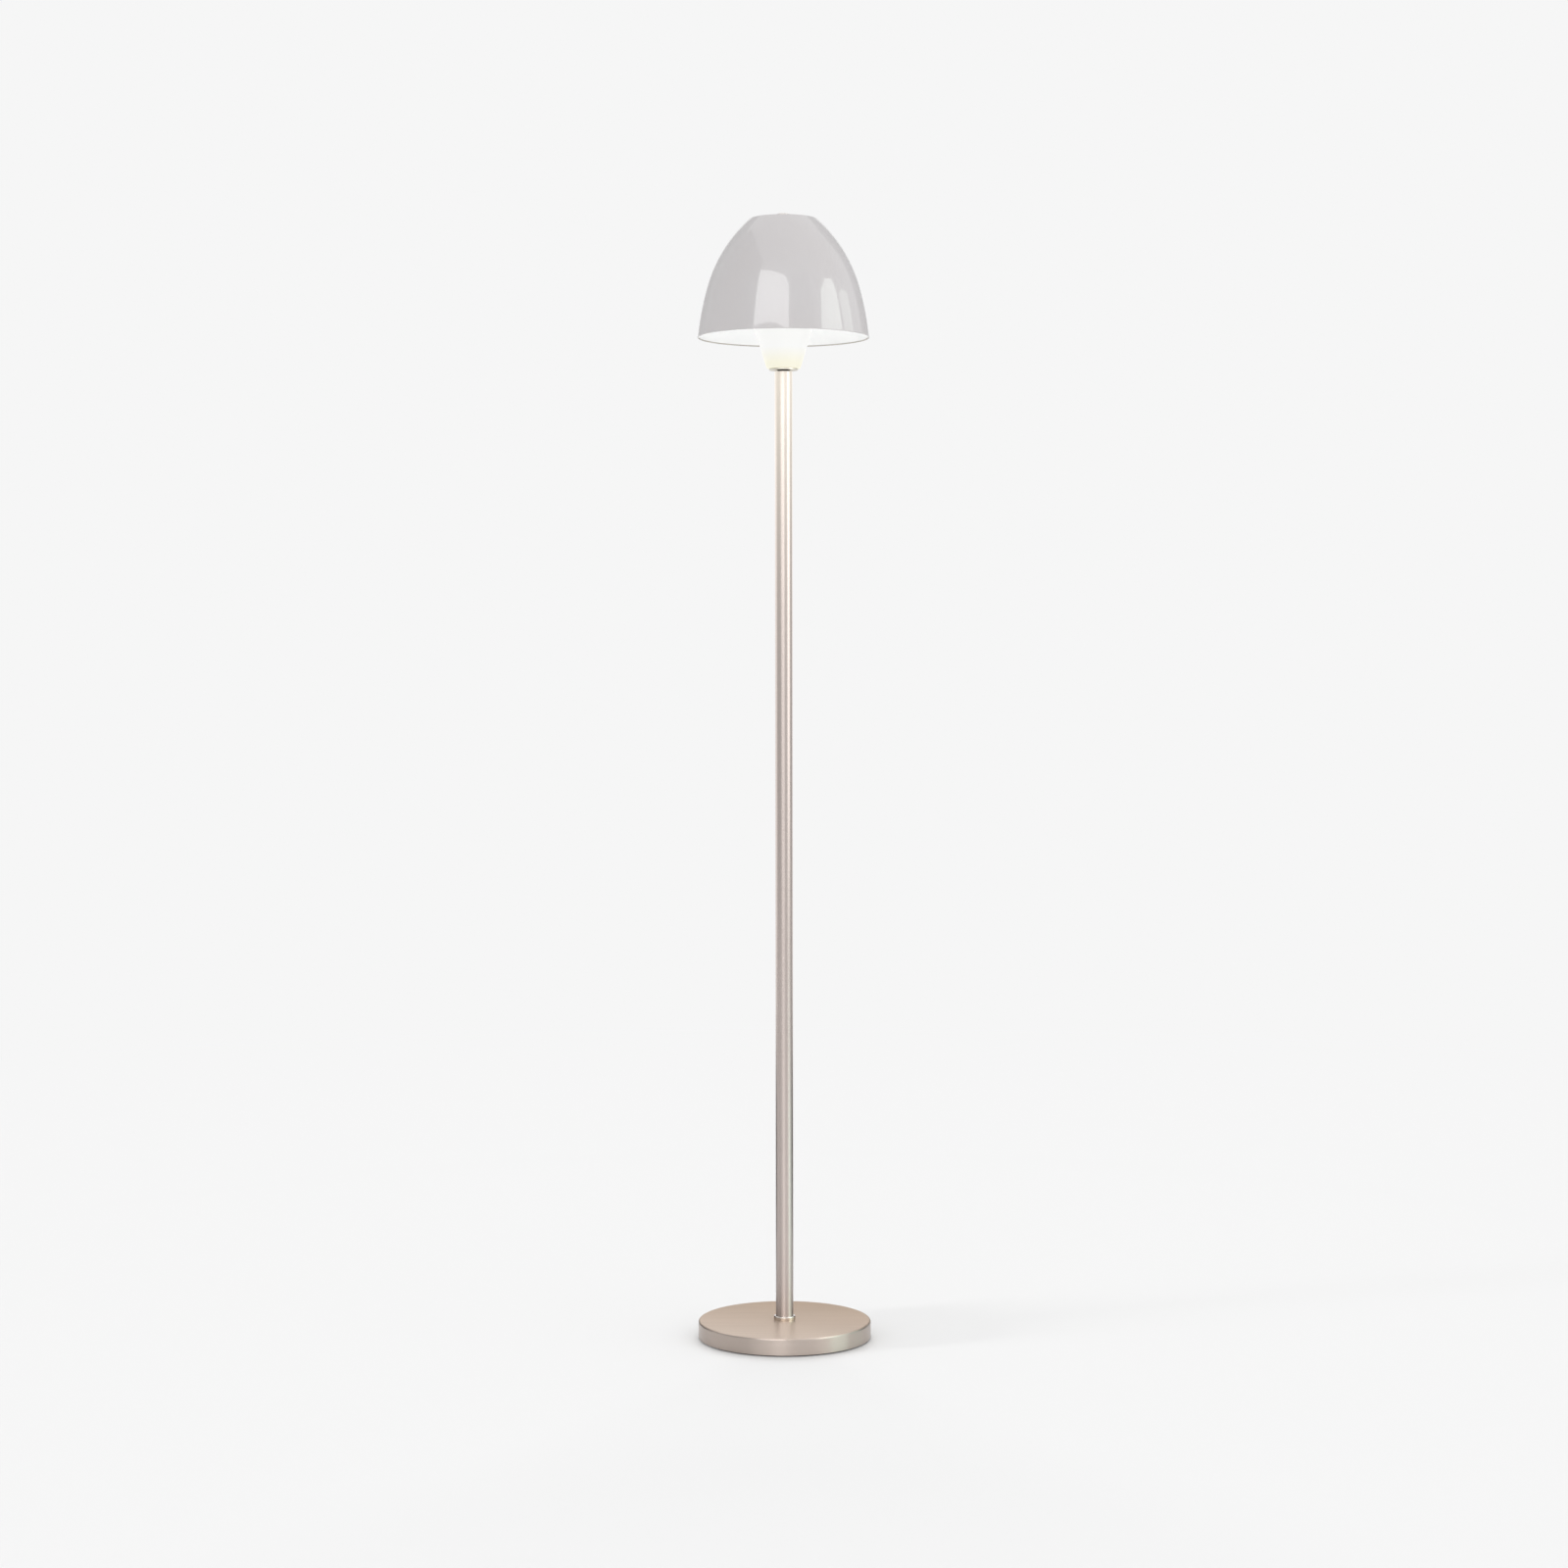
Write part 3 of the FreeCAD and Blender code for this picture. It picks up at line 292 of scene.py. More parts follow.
def way_round(across, along, radius):
    """Distance in metres round the lamp's upright axis, on a wall of this radius."""
    return along.math("ARCTAN2", along, across) * radius


def brushed(finish, along_lines, across_lines, shift):
    """Scratches, from two distances in metres. Another shift gives other scratches."""
    stretched = along_lines * ALONG_SCRATCH_PER_METRE
    squeezed = across_lines * SCRATCHES_PER_METRE
    return finish.noise(finish.join(stretched, squeezed, shift), scale=1.0, detail=3.0, roughness=0.6)


def make_pole_nickel():
    finish = Finish("satin_nickel_pole", Metallic=1.0, Emission_Strength=1.0, **SPREAD_UP_AND_DOWN)
    across, along, up = finish.place()
    scratches = brushed(finish, way_round(across, along, POLE_RADIUS), up, 0.0)
    # Painted glow: warm at the head of the pole and fading downwards.
    below_glass = ((POLE_HEAD - up) / GLOW_FADES_OVER) ** GLOW_STEEPNESS
    glow = up.math("EXPONENT", 0 - below_glass)
    finish.feed(Base_Color=finish.blend(scratches, NICKEL, NICKEL_WORN),
                Roughness=scratches.between(0.31, 0.39),
                Emission_Color=finish.blend(glow, BLACK, PAINTED_GLOW_ON_POLE))
    finish.bump(scratches, strength=0.05, distance=0.00005)
    return finish


dress(make_pole_nickel(), "pole_lower", "pole_middle", "pole_upper")

# %% [markdown]
# The base is brushed in two ways. Its wall was turned, so the lines go round it as on the pole. Its
# top was drawn under a belt, so the lines run straight across from left to right. Blender measures
# the direction of the lines from the middle of the disc, so a straight line lies round the disc in
# front of the pole and outwards beside it. Two shaders, one for each direction, are mixed by where
# the point is, and the wall's own takes over where the surface turns down. The top's colour is
# painted light and shade: lighter at the front, and darker and browner towards the back and a little
# towards the right, as the light falls on it. Broad streaks darken it too.

# %% Satin nickel on the base
# The two top colours are painted light and shade: lighter in front, darker behind and to the right.
BASE_FRONT_PAINTED_LIT = colour(215, 199, 187)
BASE_BACK_PAINTED_SHADE = colour(190, 168, 149)
SHADE_PER_METRE_TO_THE_RIGHT = 1.2
BASE_SEEN_LOW = (1.0, 0.93, 0.85, 1.0)
BASE_STREAK = colour(152, 139, 128)
STREAKS_PER_METRE = 320
ALONG_STREAK_PER_METRE = 5
STREAK_STARTS_AT = 0.3
STREAK_STRENGTH = 0.6
BASE_WALL = colour(199, 187, 179)
BASE_WALL_WORN = colour(190, 176, 166)
LINES_ROUND = 0.25
LINES_OUTWARD = 0.0
TINY_AREA = 0.000001


def belt_marks(finish, across, along):
    """Fine scratches and broad streaks from left to right, in equal parts."""
    over_streaks = finish.join(across * ALONG_STREAK_PER_METRE, along * STREAKS_PER_METRE, 3.0)
    streaks = finish.noise(over_streaks, scale=1.0, detail=2.0, roughness=0.5)
    return (brushed(finish, across, along, 0.0) + streaks) / 2


def top_colour(finish, across, along, marks):
    # Painted light and shade: lighter at the front, darker towards the back and to the right.
    painted_shade_share = along.above(edge=0.0, softness=2 * BASE_RADIUS) + across * SHADE_PER_METRE_TO_THE_RIGHT
    plain = finish.blend(painted_shade_share.clamped(), BASE_FRONT_PAINTED_LIT, BASE_BACK_PAINTED_SHADE)
    streak = ((marks - STREAK_STARTS_AT) * STREAK_STRENGTH).clamped()
    return finish.blend(streak, plain, BASE_STREAK)


def make_base_nickel():
    finish = Finish("satin_nickel_base", Metallic=1.0, **SPREAD_UP_AND_DOWN)
    across, along, up = finish.place()
    wall_marks = brushed(finish, way_round(across, along, BASE_RADIUS), up, 7.0)
    finish.feed(Base_Color=finish.blend(wall_marks, BASE_WALL, BASE_WALL_WORN),
                Roughness=wall_marks.between(0.3, 0.4))
    finish.bump(wall_marks, strength=0.05, distance=0.00005)

    marks = belt_marks(finish, across, along)
    surface = {"Base_Color": top_colour(finish, across, along, marks),
               "Roughness": marks.between(0.32, 0.48),
               "Normal": finish.node("Bump", {}, Height=marks, Strength=0.15, Distance=0.0001)}
    lines_round, lines_outward = (
        finish.node("BsdfPrincipled", {}, **surface, Metallic=0.8, Specular_Tint=BASE_SEEN_LOW,
                    Anisotropic=0.6, Anisotropic_Rotation=direction_of_lines)
        for direction_of_lines in (LINES_ROUND, LINES_OUTWARD))
    in_line_with_pole = along * along / (across * across + along * along + TINY_AREA)
    top = finish.node("MixShader", {}, in_line_with_pole, lines_outward, lines_round)
    on_top = finish.split(finish.facing())[2].above(edge=0.6, softness=0.3)
    finish.show(finish.node("MixShader", {}, on_top, finish.own_shader(), top))
    return finish


dress(make_base_nickel(), "base_cover")

# %% [markdown]
# ## Polished nickel
#
# The foot collar and the cap nut are polished, so they show the room as small hard highlights with
# dark gaps between them. A low roughness alone would make a mirror that nobody has touched, so a
# noise adds the faint marks that wiping leaves, and only in the roughness.

# %% Polished nickel
POLISHED = colour(226, 219, 212)


def make_polished():
    finish = Finish("polished_nickel", Metallic=1.0, Base_Color=POLISHED)
    smears = finish.noise(finish.where(), scale=240.0, detail=4.0, roughness=0.65)
    finish.feed(Roughness=smears.between(0.04, 0.1))
    return finish


dress(make_polished(), "foot_collar", "finial")

# %% [markdown]
# The disc under the glass is the same nickel, seen edge-on against a lamp that is lit. Its edge is
# painted near white, a painted glow, so that it nearly disappears, and its underside is painted
# grey, a painted shade, which is the thin line in the picture. Two materials on two sets of faces
# would do as well. A mask made from the way that the surface faces needs no list of faces, and it
# stays right when the disc changes its size.

# %% The disc under the glass
# The edge colour is a painted glow and the underside colour a painted shade, chosen by facing.
DISC_EDGE_PAINTED_GLOW = colour(252, 248, 236)
DISC_UNDERSIDE_PAINTED_SHADE = colour(220, 214, 202)
DISC_MARK_DEPTH = 0.2


def make_disc_nickel():
    finish = Finish("satin_nickel_disc", Metallic=1.0)
    painted_shade_below = 1 - finish.split(finish.facing())[2].above(edge=-0.6, softness=0.3)
    marks = finish.noise(finish.where(), scale=900.0, detail=3.0, roughness=0.6)
    # This colour is the painted glow of the edge and the painted shade of the underside.
    clean = finish.blend(painted_shade_below, DISC_EDGE_PAINTED_GLOW, DISC_UNDERSIDE_PAINTED_SHADE)
    finish.feed(Base_Color=finish.blend(marks * DISC_MARK_DEPTH, clean, BLACK),
                Roughness=marks.between(0.3, 0.4))
    finish.bump(marks, strength=0.1, distance=0.0002)
    return finish


dress(make_disc_nickel(), "top_flange")

# %% [markdown]
# ## The painted shade
#
# One sheet of metal carries a pale gloss lacquer outside and matt white inside to throw the light
# down, and a thin band inside the rim is painted darker, a painted shade along the edge. They could
# be three materials on three sets of faces. Here one shader tells them apart by asking whether the
# surface faces away from the middle of the dome. That works at any height, so it still holds when
# the shade is lifted off its seat. A very low swell in the lacquer bends the window reflections the
# way sprayed paint does.

# %% Shade
LACQUER = colour(209, 207, 208)
LACQUER_WARM = colour(206, 201, 201)
INSIDE_WHITE = colour(239, 240, 241)
# A band inside the rim, painted darker: painted shade along the edge of the lit inside.
RIM_SHADE_PAINT = colour(176, 171, 164)
RIM_SHADE_PAINT_HEIGHT = 0.0016


def make_shade_finish():
    finish = Finish("shade_lacquer", Coat_Roughness=0.03, Coat_IOR=1.6, Specular_IOR_Level=0.15)
    across, along, up = finish.place()
    from_middle = finish.join(across, along, up - SHADE_LOW.z)
    outward = finish.node("VectorMath", {"operation": "DOT_PRODUCT"}, finish.facing(), from_middle,
                          output="Value")
    outside = outward.above(edge=0.0, softness=0.002)
    over_edge = up.above(edge=SHADE_LOW.z + RIM_SHADE_PAINT_HEIGHT, softness=0.0003)
    painted_rim_shade = (1 - outside) * (1 - over_edge)
    where = finish.where()
    clouds = finish.noise(where, scale=9.0, detail=2.0, roughness=0.5)
    lacquer = finish.blend(clouds, LACQUER, LACQUER_WARM)
    sides = finish.blend(outside, INSIDE_WHITE, lacquer)
    finish.feed(Base_Color=finish.blend(painted_rim_shade, sides, RIM_SHADE_PAINT),
                Roughness=outside.between(0.5, 0.3), Coat_Weight=outside)
    swell = finish.noise(where, scale=14.0, detail=1.0, roughness=0.4)
    finish.bump(swell, strength=0.02, distance=0.002)
    return finish


PAINTED = make_shade_finish()
dress(PAINTED, "shade")

# %% [markdown]
# ## Turned pieces
#
# Two small trims are added to the solids, and both are round: a bead on the rim and the thread of
# the stud. Blender's Screw modifier can spin an outline or wind a thread, but not both in one closed
# stud. One helper builds both trims from rings of points about the upright axis: a row is a height
# with a radius, and where the radius follows the angle as well, the ridge climbs.

# %% Rings about the axis
SHARP_FROM_DEGREES = 40


def turned(name, rows, sides, finish, closed=False):
    """Rings about the lamp's axis, joined in order. A radius is a number or a function of the angle."""
    build = bmesh.new()
    rings = []
    for height, radius in rows:
        ring = []
        for step in range(sides):
            angle = 2 * math.pi * step / sides
            reach = radius(angle) if callable(radius) else radius
            ring.append(build.verts.new((reach * math.cos(angle), reach * math.sin(angle), height)))
        rings.append(ring)
    for low, high in zip(rings, rings[1:] + (rings[:1] if closed else [])):
        for side in range(sides):
            after = (side + 1) % sides
            build.faces.new((low[side], low[after], high[after], high[side]))
    if not closed:
        build.faces.new(reversed(rings[0]))
        build.faces.new(rings[-1])
    bmesh.ops.recalc_face_normals(build, faces=build.faces)
    mesh = bpy.data.meshes.new(name)
    build.to_mesh(mesh)
    build.free()
    mesh.polygons.foreach_set("use_smooth", [True] * len(mesh.polygons))
    mesh.set_sharp_from_angle(angle=math.radians(SHARP_FROM_DEGREES))
    mesh.materials.append(finish.material)
    piece = bpy.data.objects.new(name, mesh)
    bpy.context.scene.collection.objects.link(piece)
    print(f"{name}: {len(mesh.polygons)} faces")
    return piece

# %% [markdown]
# The rim of the real shade is rolled into a small bead so that it isn't sharp. A bevel on the
# solid's edge would make it thinner, and a rolled edge is thicker than the sheet. So a thin ring is
# laid round the middle of the sheet, and it doesn't reach below the rim.

# %% Bead on the rim
SHADE_WALL = 0.0012
BEAD_RADIUS = 0.00075
BEAD_STEPS = 10
BEAD_SIDES = 180


def make_rim_bead():
    middle = RIM_RADIUS - SHADE_WALL / 2
    turns = [2 * math.pi * step / BEAD_STEPS for step in range(BEAD_STEPS)]
    rows = [(SHADE_LOW.z + BEAD_RADIUS * (1 + math.sin(turn)), middle + BEAD_RADIUS * math.cos(turn))
            for turn in turns]
    bead = turned("rim_bead", rows, BEAD_SIDES, PAINTED, closed=True)
    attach(bead, "shade_assembly")


make_rim_bead()

# %% [markdown]
# ## Glass that glows
#
# The cone is sand-blasted glass round a bulb. From outside no one sees the bulb, only a wall that
# glows, warmest at its narrow foot. Tracing light through rough glass is slow and noisy, so the
# cone is given the glow that its outside has: a grey white that grows strong towards the lip, and
# a little less where the wall is seen edge-on.

# %% Frosted cone
GLASS_GREY = colour(124, 124, 124)
GLOW_WHITE = (1.0, 0.985, 0.95, 1.0)
GLOW_BODY = (0.245, 0.245, 0.24, 1.0)
GLOW_FOOT = (0.245, 0.236, 0.185, 1.0)
CONE_GLOW = 3.0
EDGE_LOSES = 0.2
GLASS_IOR = 1.5


def make_frosted():
    finish = Finish("frosted_glass", Base_Color=GLASS_GREY, IOR=GLASS_IOR, Emission_Strength=CONE_GLOW)
    up = finish.place()[2]
    height = (up - GLASS_LOW.z) / (GLASS_HIGH.z - GLASS_LOW.z)
    glow = finish.blend(height.above(edge=0.16, softness=0.2), GLOW_FOOT, GLOW_BODY)
    glow = finish.blend(height.above(edge=0.71, softness=0.42) ** 2, glow, GLOW_WHITE)
    edge_on = finish.node("LayerWeight", {}, Blend=0.08, output="Facing")
    grain = finish.noise(finish.where(), scale=2200.0, detail=2.0, roughness=0.6)
    finish.feed(Emission_Color=finish.blend(1 - edge_on * EDGE_LOSES, BLACK, glow),
                Roughness=grain.between(0.45, 0.55))
    finish.bump(grain, strength=0.1, distance=0.0001)
    return finish


dress(make_frosted(), "diffuser")

# %% [markdown]
# The opal bulb shows once the shade is lifted. Its housing fills the foot of the globe, so the glow
# is warmer there and white above. It could be a point light in a clear globe, but a glowing surface
# gives the same look without the noise that a small bright source makes.

# %% Opal bulb
OPAL_WHITE = colour(250, 248, 242)
GLOW_WARM = (1.0, 0.86, 0.6, 1.0)
BULB_GLOW = 8.0


def make_opal():
    finish = Finish("opal_bulb", Base_Color=OPAL_WHITE, IOR=GLASS_IOR, Emission_Strength=BULB_GLOW)
    low, high = (corner.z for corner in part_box("bulb_globe"))
    lit = finish.place()[2].above(edge=(low + high) / 2, softness=high - low)
    finish.feed(Emission_Color=finish.blend(lit, GLOW_WARM, GLOW_WHITE),
                Roughness=lit.between(0.3, 0.35))
    return finish


dress(make_opal(), "bulb_globe")

# %% [markdown]
# ## The plain materials
#
# The rest are small or hidden pieces. Flat colours would do from afar, but a close view would find
# them lifeless. So each has a noise of its own grain size that mottles the colour, spreads the
# roughness and gives a little height. The metals come first: zinc-plated fittings, brass contacts,
# the bulb's bright cap and the cast iron weight.

# %% Plain metals
GRAIN_HEIGHT = 0.4


def make_plain(name, light, dark, grain, roughness, swing, height=0.1, **constants):
    """A finish with a mottled colour. Grain counts per metre, and roughness swings about its middle."""
    finish = Finish(name, **constants)
    mottle = finish.noise(finish.where(), scale=grain, detail=4.0, roughness=0.6)
    finish.feed(Base_Color=finish.blend(mottle, colour(*light), colour(*dark)),
                Roughness=mottle.between(roughness - swing / 2, roughness + swing / 2))
    finish.bump(mottle, strength=height, distance=GRAIN_HEIGHT / grain)
    return finish


ZINC = make_plain("zinc_plating", (196, 197, 193), (170, 171, 168), grain=700, roughness=0.32,
                  swing=0.12, Metallic=1.0)
BRASS = make_plain("brass", (214, 178, 108), (188, 150, 86), grain=500, roughness=0.28,
                   swing=0.12, Metallic=1.0)
CAP_METAL = make_plain("bulb_cap_metal", (214, 214, 212), (186, 186, 184), grain=600, roughness=0.3,
                       swing=0.1, Metallic=1.0)
IRON = make_plain("cast_iron", (58, 58, 58), (34, 34, 35), grain=420, roughness=0.7,
                  swing=0.2, height=0.5)

dress(ZINC, "foot_nipple", "foot_washer", "foot_lock_washer", "foot_nut", "pole_inserts",
      "pole_joint_nipples", "head_nipple", "clamp_washer", "head_nut", "carrier_bar",
      "carrier_ferrules", "carrier_bow", "carrier_stud", "shade_seat")
dress(BRASS, "screw_sleeve", "centre_contact", "bulb_end_contact")
dress(CAP_METAL, "bulb_screw_cap")
dress(IRON, "base_weight")

# %% [markdown]
# Then the soft and moulded pieces, from the same helper: black foam and rubber with a coarse height,
# smooth plastics, clear silicone that looks milky in thin rings, and a chalky ceramic.

# %% Plastics, rubber, foam and ceramic
FOAM = make_plain("dark_foam", (38, 38, 39), (22, 22, 23), grain=1500, roughness=0.9,
                  swing=0.1, height=0.6)
BLACK_PLASTIC = make_plain("black_plastic", (34, 33, 33), (24, 24, 24), grain=1800, roughness=0.5,
                           swing=0.12, height=0.3)
BLACK_RUBBER = make_plain("black_rubber", (32, 32, 32), (22, 22, 22), grain=1200, roughness=0.75,
                          swing=0.1, height=0.3)
SILICONE = make_plain("clear_silicone", (214, 213, 208), (200, 199, 193), grain=300, roughness=0.4,
                      swing=0.1)
WHITE_PLASTIC = make_plain("moulded_white", (236, 235, 231), (228, 226, 221), grain=900, roughness=0.3,
                           swing=0.08)
CERAMIC = make_plain("white_ceramic", (236, 232, 222), (222, 217, 205), grain=1600, roughness=0.6,
                     swing=0.1, height=0.2)
SHEATH = make_plain("lead_sheath", (40, 40, 41), (30, 30, 31), grain=900, roughness=0.45, swing=0.1)
CORE = make_plain("core_sleeve", (112, 74, 46), (98, 62, 38), grain=900, roughness=0.45, swing=0.1)

dress(FOAM, "base_pad")
dress(BLACK_PLASTIC, "cord_grommet", "neck_spacer", "finial_washer")
dress(BLACK_RUBBER, "shade_seat_pad")
dress(SILICONE, "lower_glass_washer", "upper_glass_washer")
dress(WHITE_PLASTIC, "lampholder_cap", "lampholder_shell", "bulb_housing")
dress(CERAMIC, "contact_block")
dress(SHEATH, "inner_lead")
dress(CORE, "lead_cores")

# %% [markdown]
# ## The threaded stud
#
# Lift the shade and the stud shows: a riveted head under the eye of the bow, a collar that the seat
# disc stands on, and a thread for the cap nut. A bump could fake the thread, but its outline would
# stay smooth. The solid is plain, so a threaded copy of the same size takes its place. The crest of
# the thread is as wide as the plain stud, and the thread is cut inwards, so nothing on it touches
# the disc or the nut.

# %% Threaded stud
STUD_RADIUS = 0.003
STUD_SIDES = 32
HEAD_RADIUS = 0.005
HEAD_HEIGHT = 0.002
THREAD_PITCH = 0.001
THREAD_DEPTH = 0.0005
ROWS_PER_TURN = 8
CHAMFER = 0.0006


def thread_radius(height):
    """Radius of the thread at a height, by angle: a ridge that climbs one pitch a turn."""
    def radius(angle):
        phase = (height / THREAD_PITCH - angle / (2 * math.pi)) % 1
        return STUD_RADIUS - THREAD_DEPTH * abs(2 * phase - 1)
    return radius


def make_stud():
    stud_low, stud_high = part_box("carrier_stud")
    collar_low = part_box("carrier_bow")[1].z
    collar_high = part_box("shade_seat")[0].z
    head_high = stud_low.z + HEAD_HEIGHT
    rows = [(stud_low.z, HEAD_RADIUS - CHAMFER), (stud_low.z + CHAMFER, HEAD_RADIUS),
            (head_high, HEAD_RADIUS), (head_high, STUD_RADIUS),
            (collar_low, STUD_RADIUS), (collar_low, stud_high.x),
            (collar_high, stud_high.x), (collar_high, STUD_RADIUS)]
    thread_length = stud_high.z - CHAMFER - collar_high
    count = round(thread_length / THREAD_PITCH * ROWS_PER_TURN)
    for row in range(1, count + 1):
        height = collar_high + thread_length * row / count
        rows.append((height, thread_radius(height)))
    rows.append((stud_high.z, STUD_RADIUS - THREAD_DEPTH - CHAMFER / 2))
    stud = turned("threaded_stud", rows, STUD_SIDES, ZINC)
    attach(stud, "stand")
    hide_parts("carrier_stud")


make_stud()

# %% [markdown]
# ## Room
#
# The lamp stands in an even, pale room. A picture of a room could light it, but that would put a
# real place in every reflection. One flat light from all round is plainer. A pale background could
# come from more light, but that would bleach the lamp. So the world asks each ray, by Light Path,
# where it ends: in a picture or a mirror it is an off-white, and elsewhere it is the light.

# %% Room
BACKGROUND = colour(246, 246, 246)
ROOM_LIGHT = 0.85
SEEN_RAYS = ("Is Camera Ray", "Is Glossy Ray", "Is Transmission Ray")


def seen_by_eye(finish):
    """1 for rays that end in a picture or a mirror image, 0 for rays that only carry light."""
    camera_ray, mirror_ray, glass_ray = (finish.node("LightPath", output=name) for name in SEEN_RAYS)
    return (camera_ray + mirror_ray + glass_ray).clamped()


class WorldFinish(Finish):
    """The same wiring for the world."""

    def __init__(self, world):
        world.use_nodes = True
        self.tree = world.node_tree
        self.shader = self.tree.nodes["Background"]


def make_room():
    world = bpy.data.worlds.new("room")
    bpy.context.scene.world = world
    room = WorldFinish(world)
    lighting = (ROOM_LIGHT, ROOM_LIGHT, ROOM_LIGHT, 1.0)
    room.feed(Color=room.blend(seen_by_eye(room), lighting, BACKGROUND))
    print(f"room: light {ROOM_LIGHT}, background {BACKGROUND[0]:.3f}")


make_room()

# %% [markdown]
# Near the lamp the floor is really shaded, because the lamp's shadow ties it to the ground. A little
# glow of its own, for seen rays alone, brings it up to the background's off-white. Farther off it
# fades into that off-white altogether, so no line shows where the floor ends. A curved backdrop
# would hide the line too, but it would get shadows of its own.

# %% Floor
FLOOR_HALF = 30.0
FLOOR_PALE = colour(214, 214, 214)
FLOOR_TOP_UP = 0.048
FLOOR_FADES_AT = 2.6
FLOOR_FADES_OVER = 2.0


def make_card(name, points, finish):
    """One face in the room, which is no piece of the lamp."""
    mesh = bpy.data.meshes.new(name)
    mesh.from_pydata(points, [], [tuple(range(len(points)))])
    mesh.materials.append(finish.material)
    card = bpy.data.objects.new(name, mesh)
    bpy.context.scene.collection.objects.link(card)
    return card


def make_floor():
    finish = Finish("floor", Base_Color=FLOOR_PALE, Roughness=1.0, Specular_IOR_Level=0.0,
                    Emission_Strength=1.0)
    seen = seen_by_eye(finish)
    top_up = (FLOOR_TOP_UP, FLOOR_TOP_UP, FLOOR_TOP_UP, 1.0)
    finish.feed(Emission_Color=finish.blend(seen, BLACK, top_up))
    across, along = finish.place()[:2]
    distance = (across * across + along * along) ** 0.5
    far_off = distance.above(FLOOR_FADES_AT, FLOOR_FADES_OVER)
    flat = finish.node("Emission", {}, Color=BACKGROUND, Strength=1.0)
    finish.show(finish.node("MixShader", {}, far_off * seen, finish.own_shader(), flat))
    signs = ((-1, -1), (1, -1), (1, 1), (-1, 1))
    print(f"floor: {2 * FLOOR_HALF:.0f} m square, fades {FLOOR_FADES_AT} m from the lamp")
    return make_card("floor", [(x * FLOOR_HALF, y * FLOOR_HALF, 0) for x, y in signs], finish)


floor = make_floor()

# %% [markdown]
# ## Windows and flags
#
# Gloss and metal look like what they mirror: bright windows give the shade its pale patches and the
# pole its stripes, and dull cards between them, which photographers call flags, give the dark
# stripes. Area lights could be the windows, but they would light the lamp unevenly as well. So each
# is a card that shows in mirrors only. A mirror sees a direction and not a place, so the corners are
# directions from what is to mirror the card: degrees round from the camera, to the right, and
# degrees up.

# %% Cards that only mirrors see
DAYLIGHT = (1.0, 1.0, 1.0, 1.0)


def direction(azimuth, elevation):
    """Unit vector towards an azimuth from the camera's side, positive to the right."""
    azimuth, elevation = math.radians(azimuth), math.radians(elevation)
    level = math.cos(elevation)
    return Vector((math.sin(azimuth) * level, -math.cos(azimuth) * level, math.sin(elevation)))


def upright(left, right, low, high):
    """The four corners of a card between two azimuths and two elevations."""
    return [(left, low), (right, low), (right, high), (left, high)]


def light_only(name, light, brightness):
    """A finish that glows and mirrors nothing."""
    return Finish(name, Base_Color=BLACK, Roughness=1.0, Specular_IOR_Level=0.0,
                  Emission_Color=light, Emission_Strength=brightness)


def show_in_mirrors_only(card):
    card.visible_camera = False
    card.visible_diffuse = False
    card.visible_shadow = False


def put_up(cards, centre, distance):
    """Flat cards round a centre. Each has a brightness, the colour of its light and its corners."""
    for name, (brightness, light, corners) in cards.items():
        rays = [direction(*corner) for corner in corners]
        middle = sum(rays, Vector()).normalized()
        points = [centre + ray * (distance / ray.dot(middle)) for ray in rays]
        show_in_mirrors_only(make_card(name, points, light_only(name, light, brightness)))
    print(f"{len(cards)} cards, {distance} m from {centre.z:.2f} m up: {', '.join(cards)}")


print("towards the camera's right:", tuple(round(part, 3) for part in direction(90, 0)))

# %% [markdown]
# The shade shows a tall window on its left, and one on its right whose sides lean, with a little
# green in its light. Low cards under them reach the wall of the dome near the rim, which leans back
# least and so mirrors what is level with it. The flags darken the rest.

# %% Cards for the shade
SHADE_CENTRE = Vector((0, 0, (SHADE_LOW.z + SHADE_HIGH.z) / 2))
SHADE_CARD_DISTANCE = 6.0
GREENISH = (0.94, 1.0, 0.95, 1.0)
SHADE_CARDS = {
    "window_left": (3.4, DAYLIGHT, [(-41, 18), (7, 18), (9, 35), (3, 40), (-41, 43)]),
    "window_left_low": (1.3, DAYLIGHT, upright(-24, 1, -3, 10)),
    "window_right": (3.3, GREENISH, [(51, 13), (86, 13), (87, 28), (82, 32), (72, 33), (59, 30)]),
    "window_right_low": (3.7, GREENISH, upright(48, 75, 4, 10)),
    "window_far_right": (2.0, GREENISH, [(90, 13), (108, 13), (110, 22), (99, 25), (90, 25)]),
    "flag_left": (0.46, DAYLIGHT, upright(-130, -43, -13, 50)),
    "flag_middle": (0.72, DAYLIGHT, upright(12, 44, -13, 40)),
    "flag_right_low": (0.6, DAYLIGHT, upright(78, 94, -13, 10)),
    "flag_right": (0.3, DAYLIGHT, upright(94, 130, -13, 10)),
    "flag_rear_left": (0.5, DAYLIGHT, upright(-162, -131, 4, 45)),
    "flag_rear_right": (0.5, DAYLIGHT, upright(131, 162, 4, 45)),
}

put_up(SHADE_CARDS, SHADE_CENTRE, SHADE_CARD_DISTANCE)

# %% [markdown]
# The base stands far below the shade and mirrors the room from its own place, so it has a ring of
# nearer, lower cards, with directions from its own middle. They stop short of straight behind, so
# that the top of the base mirrors the open background there.

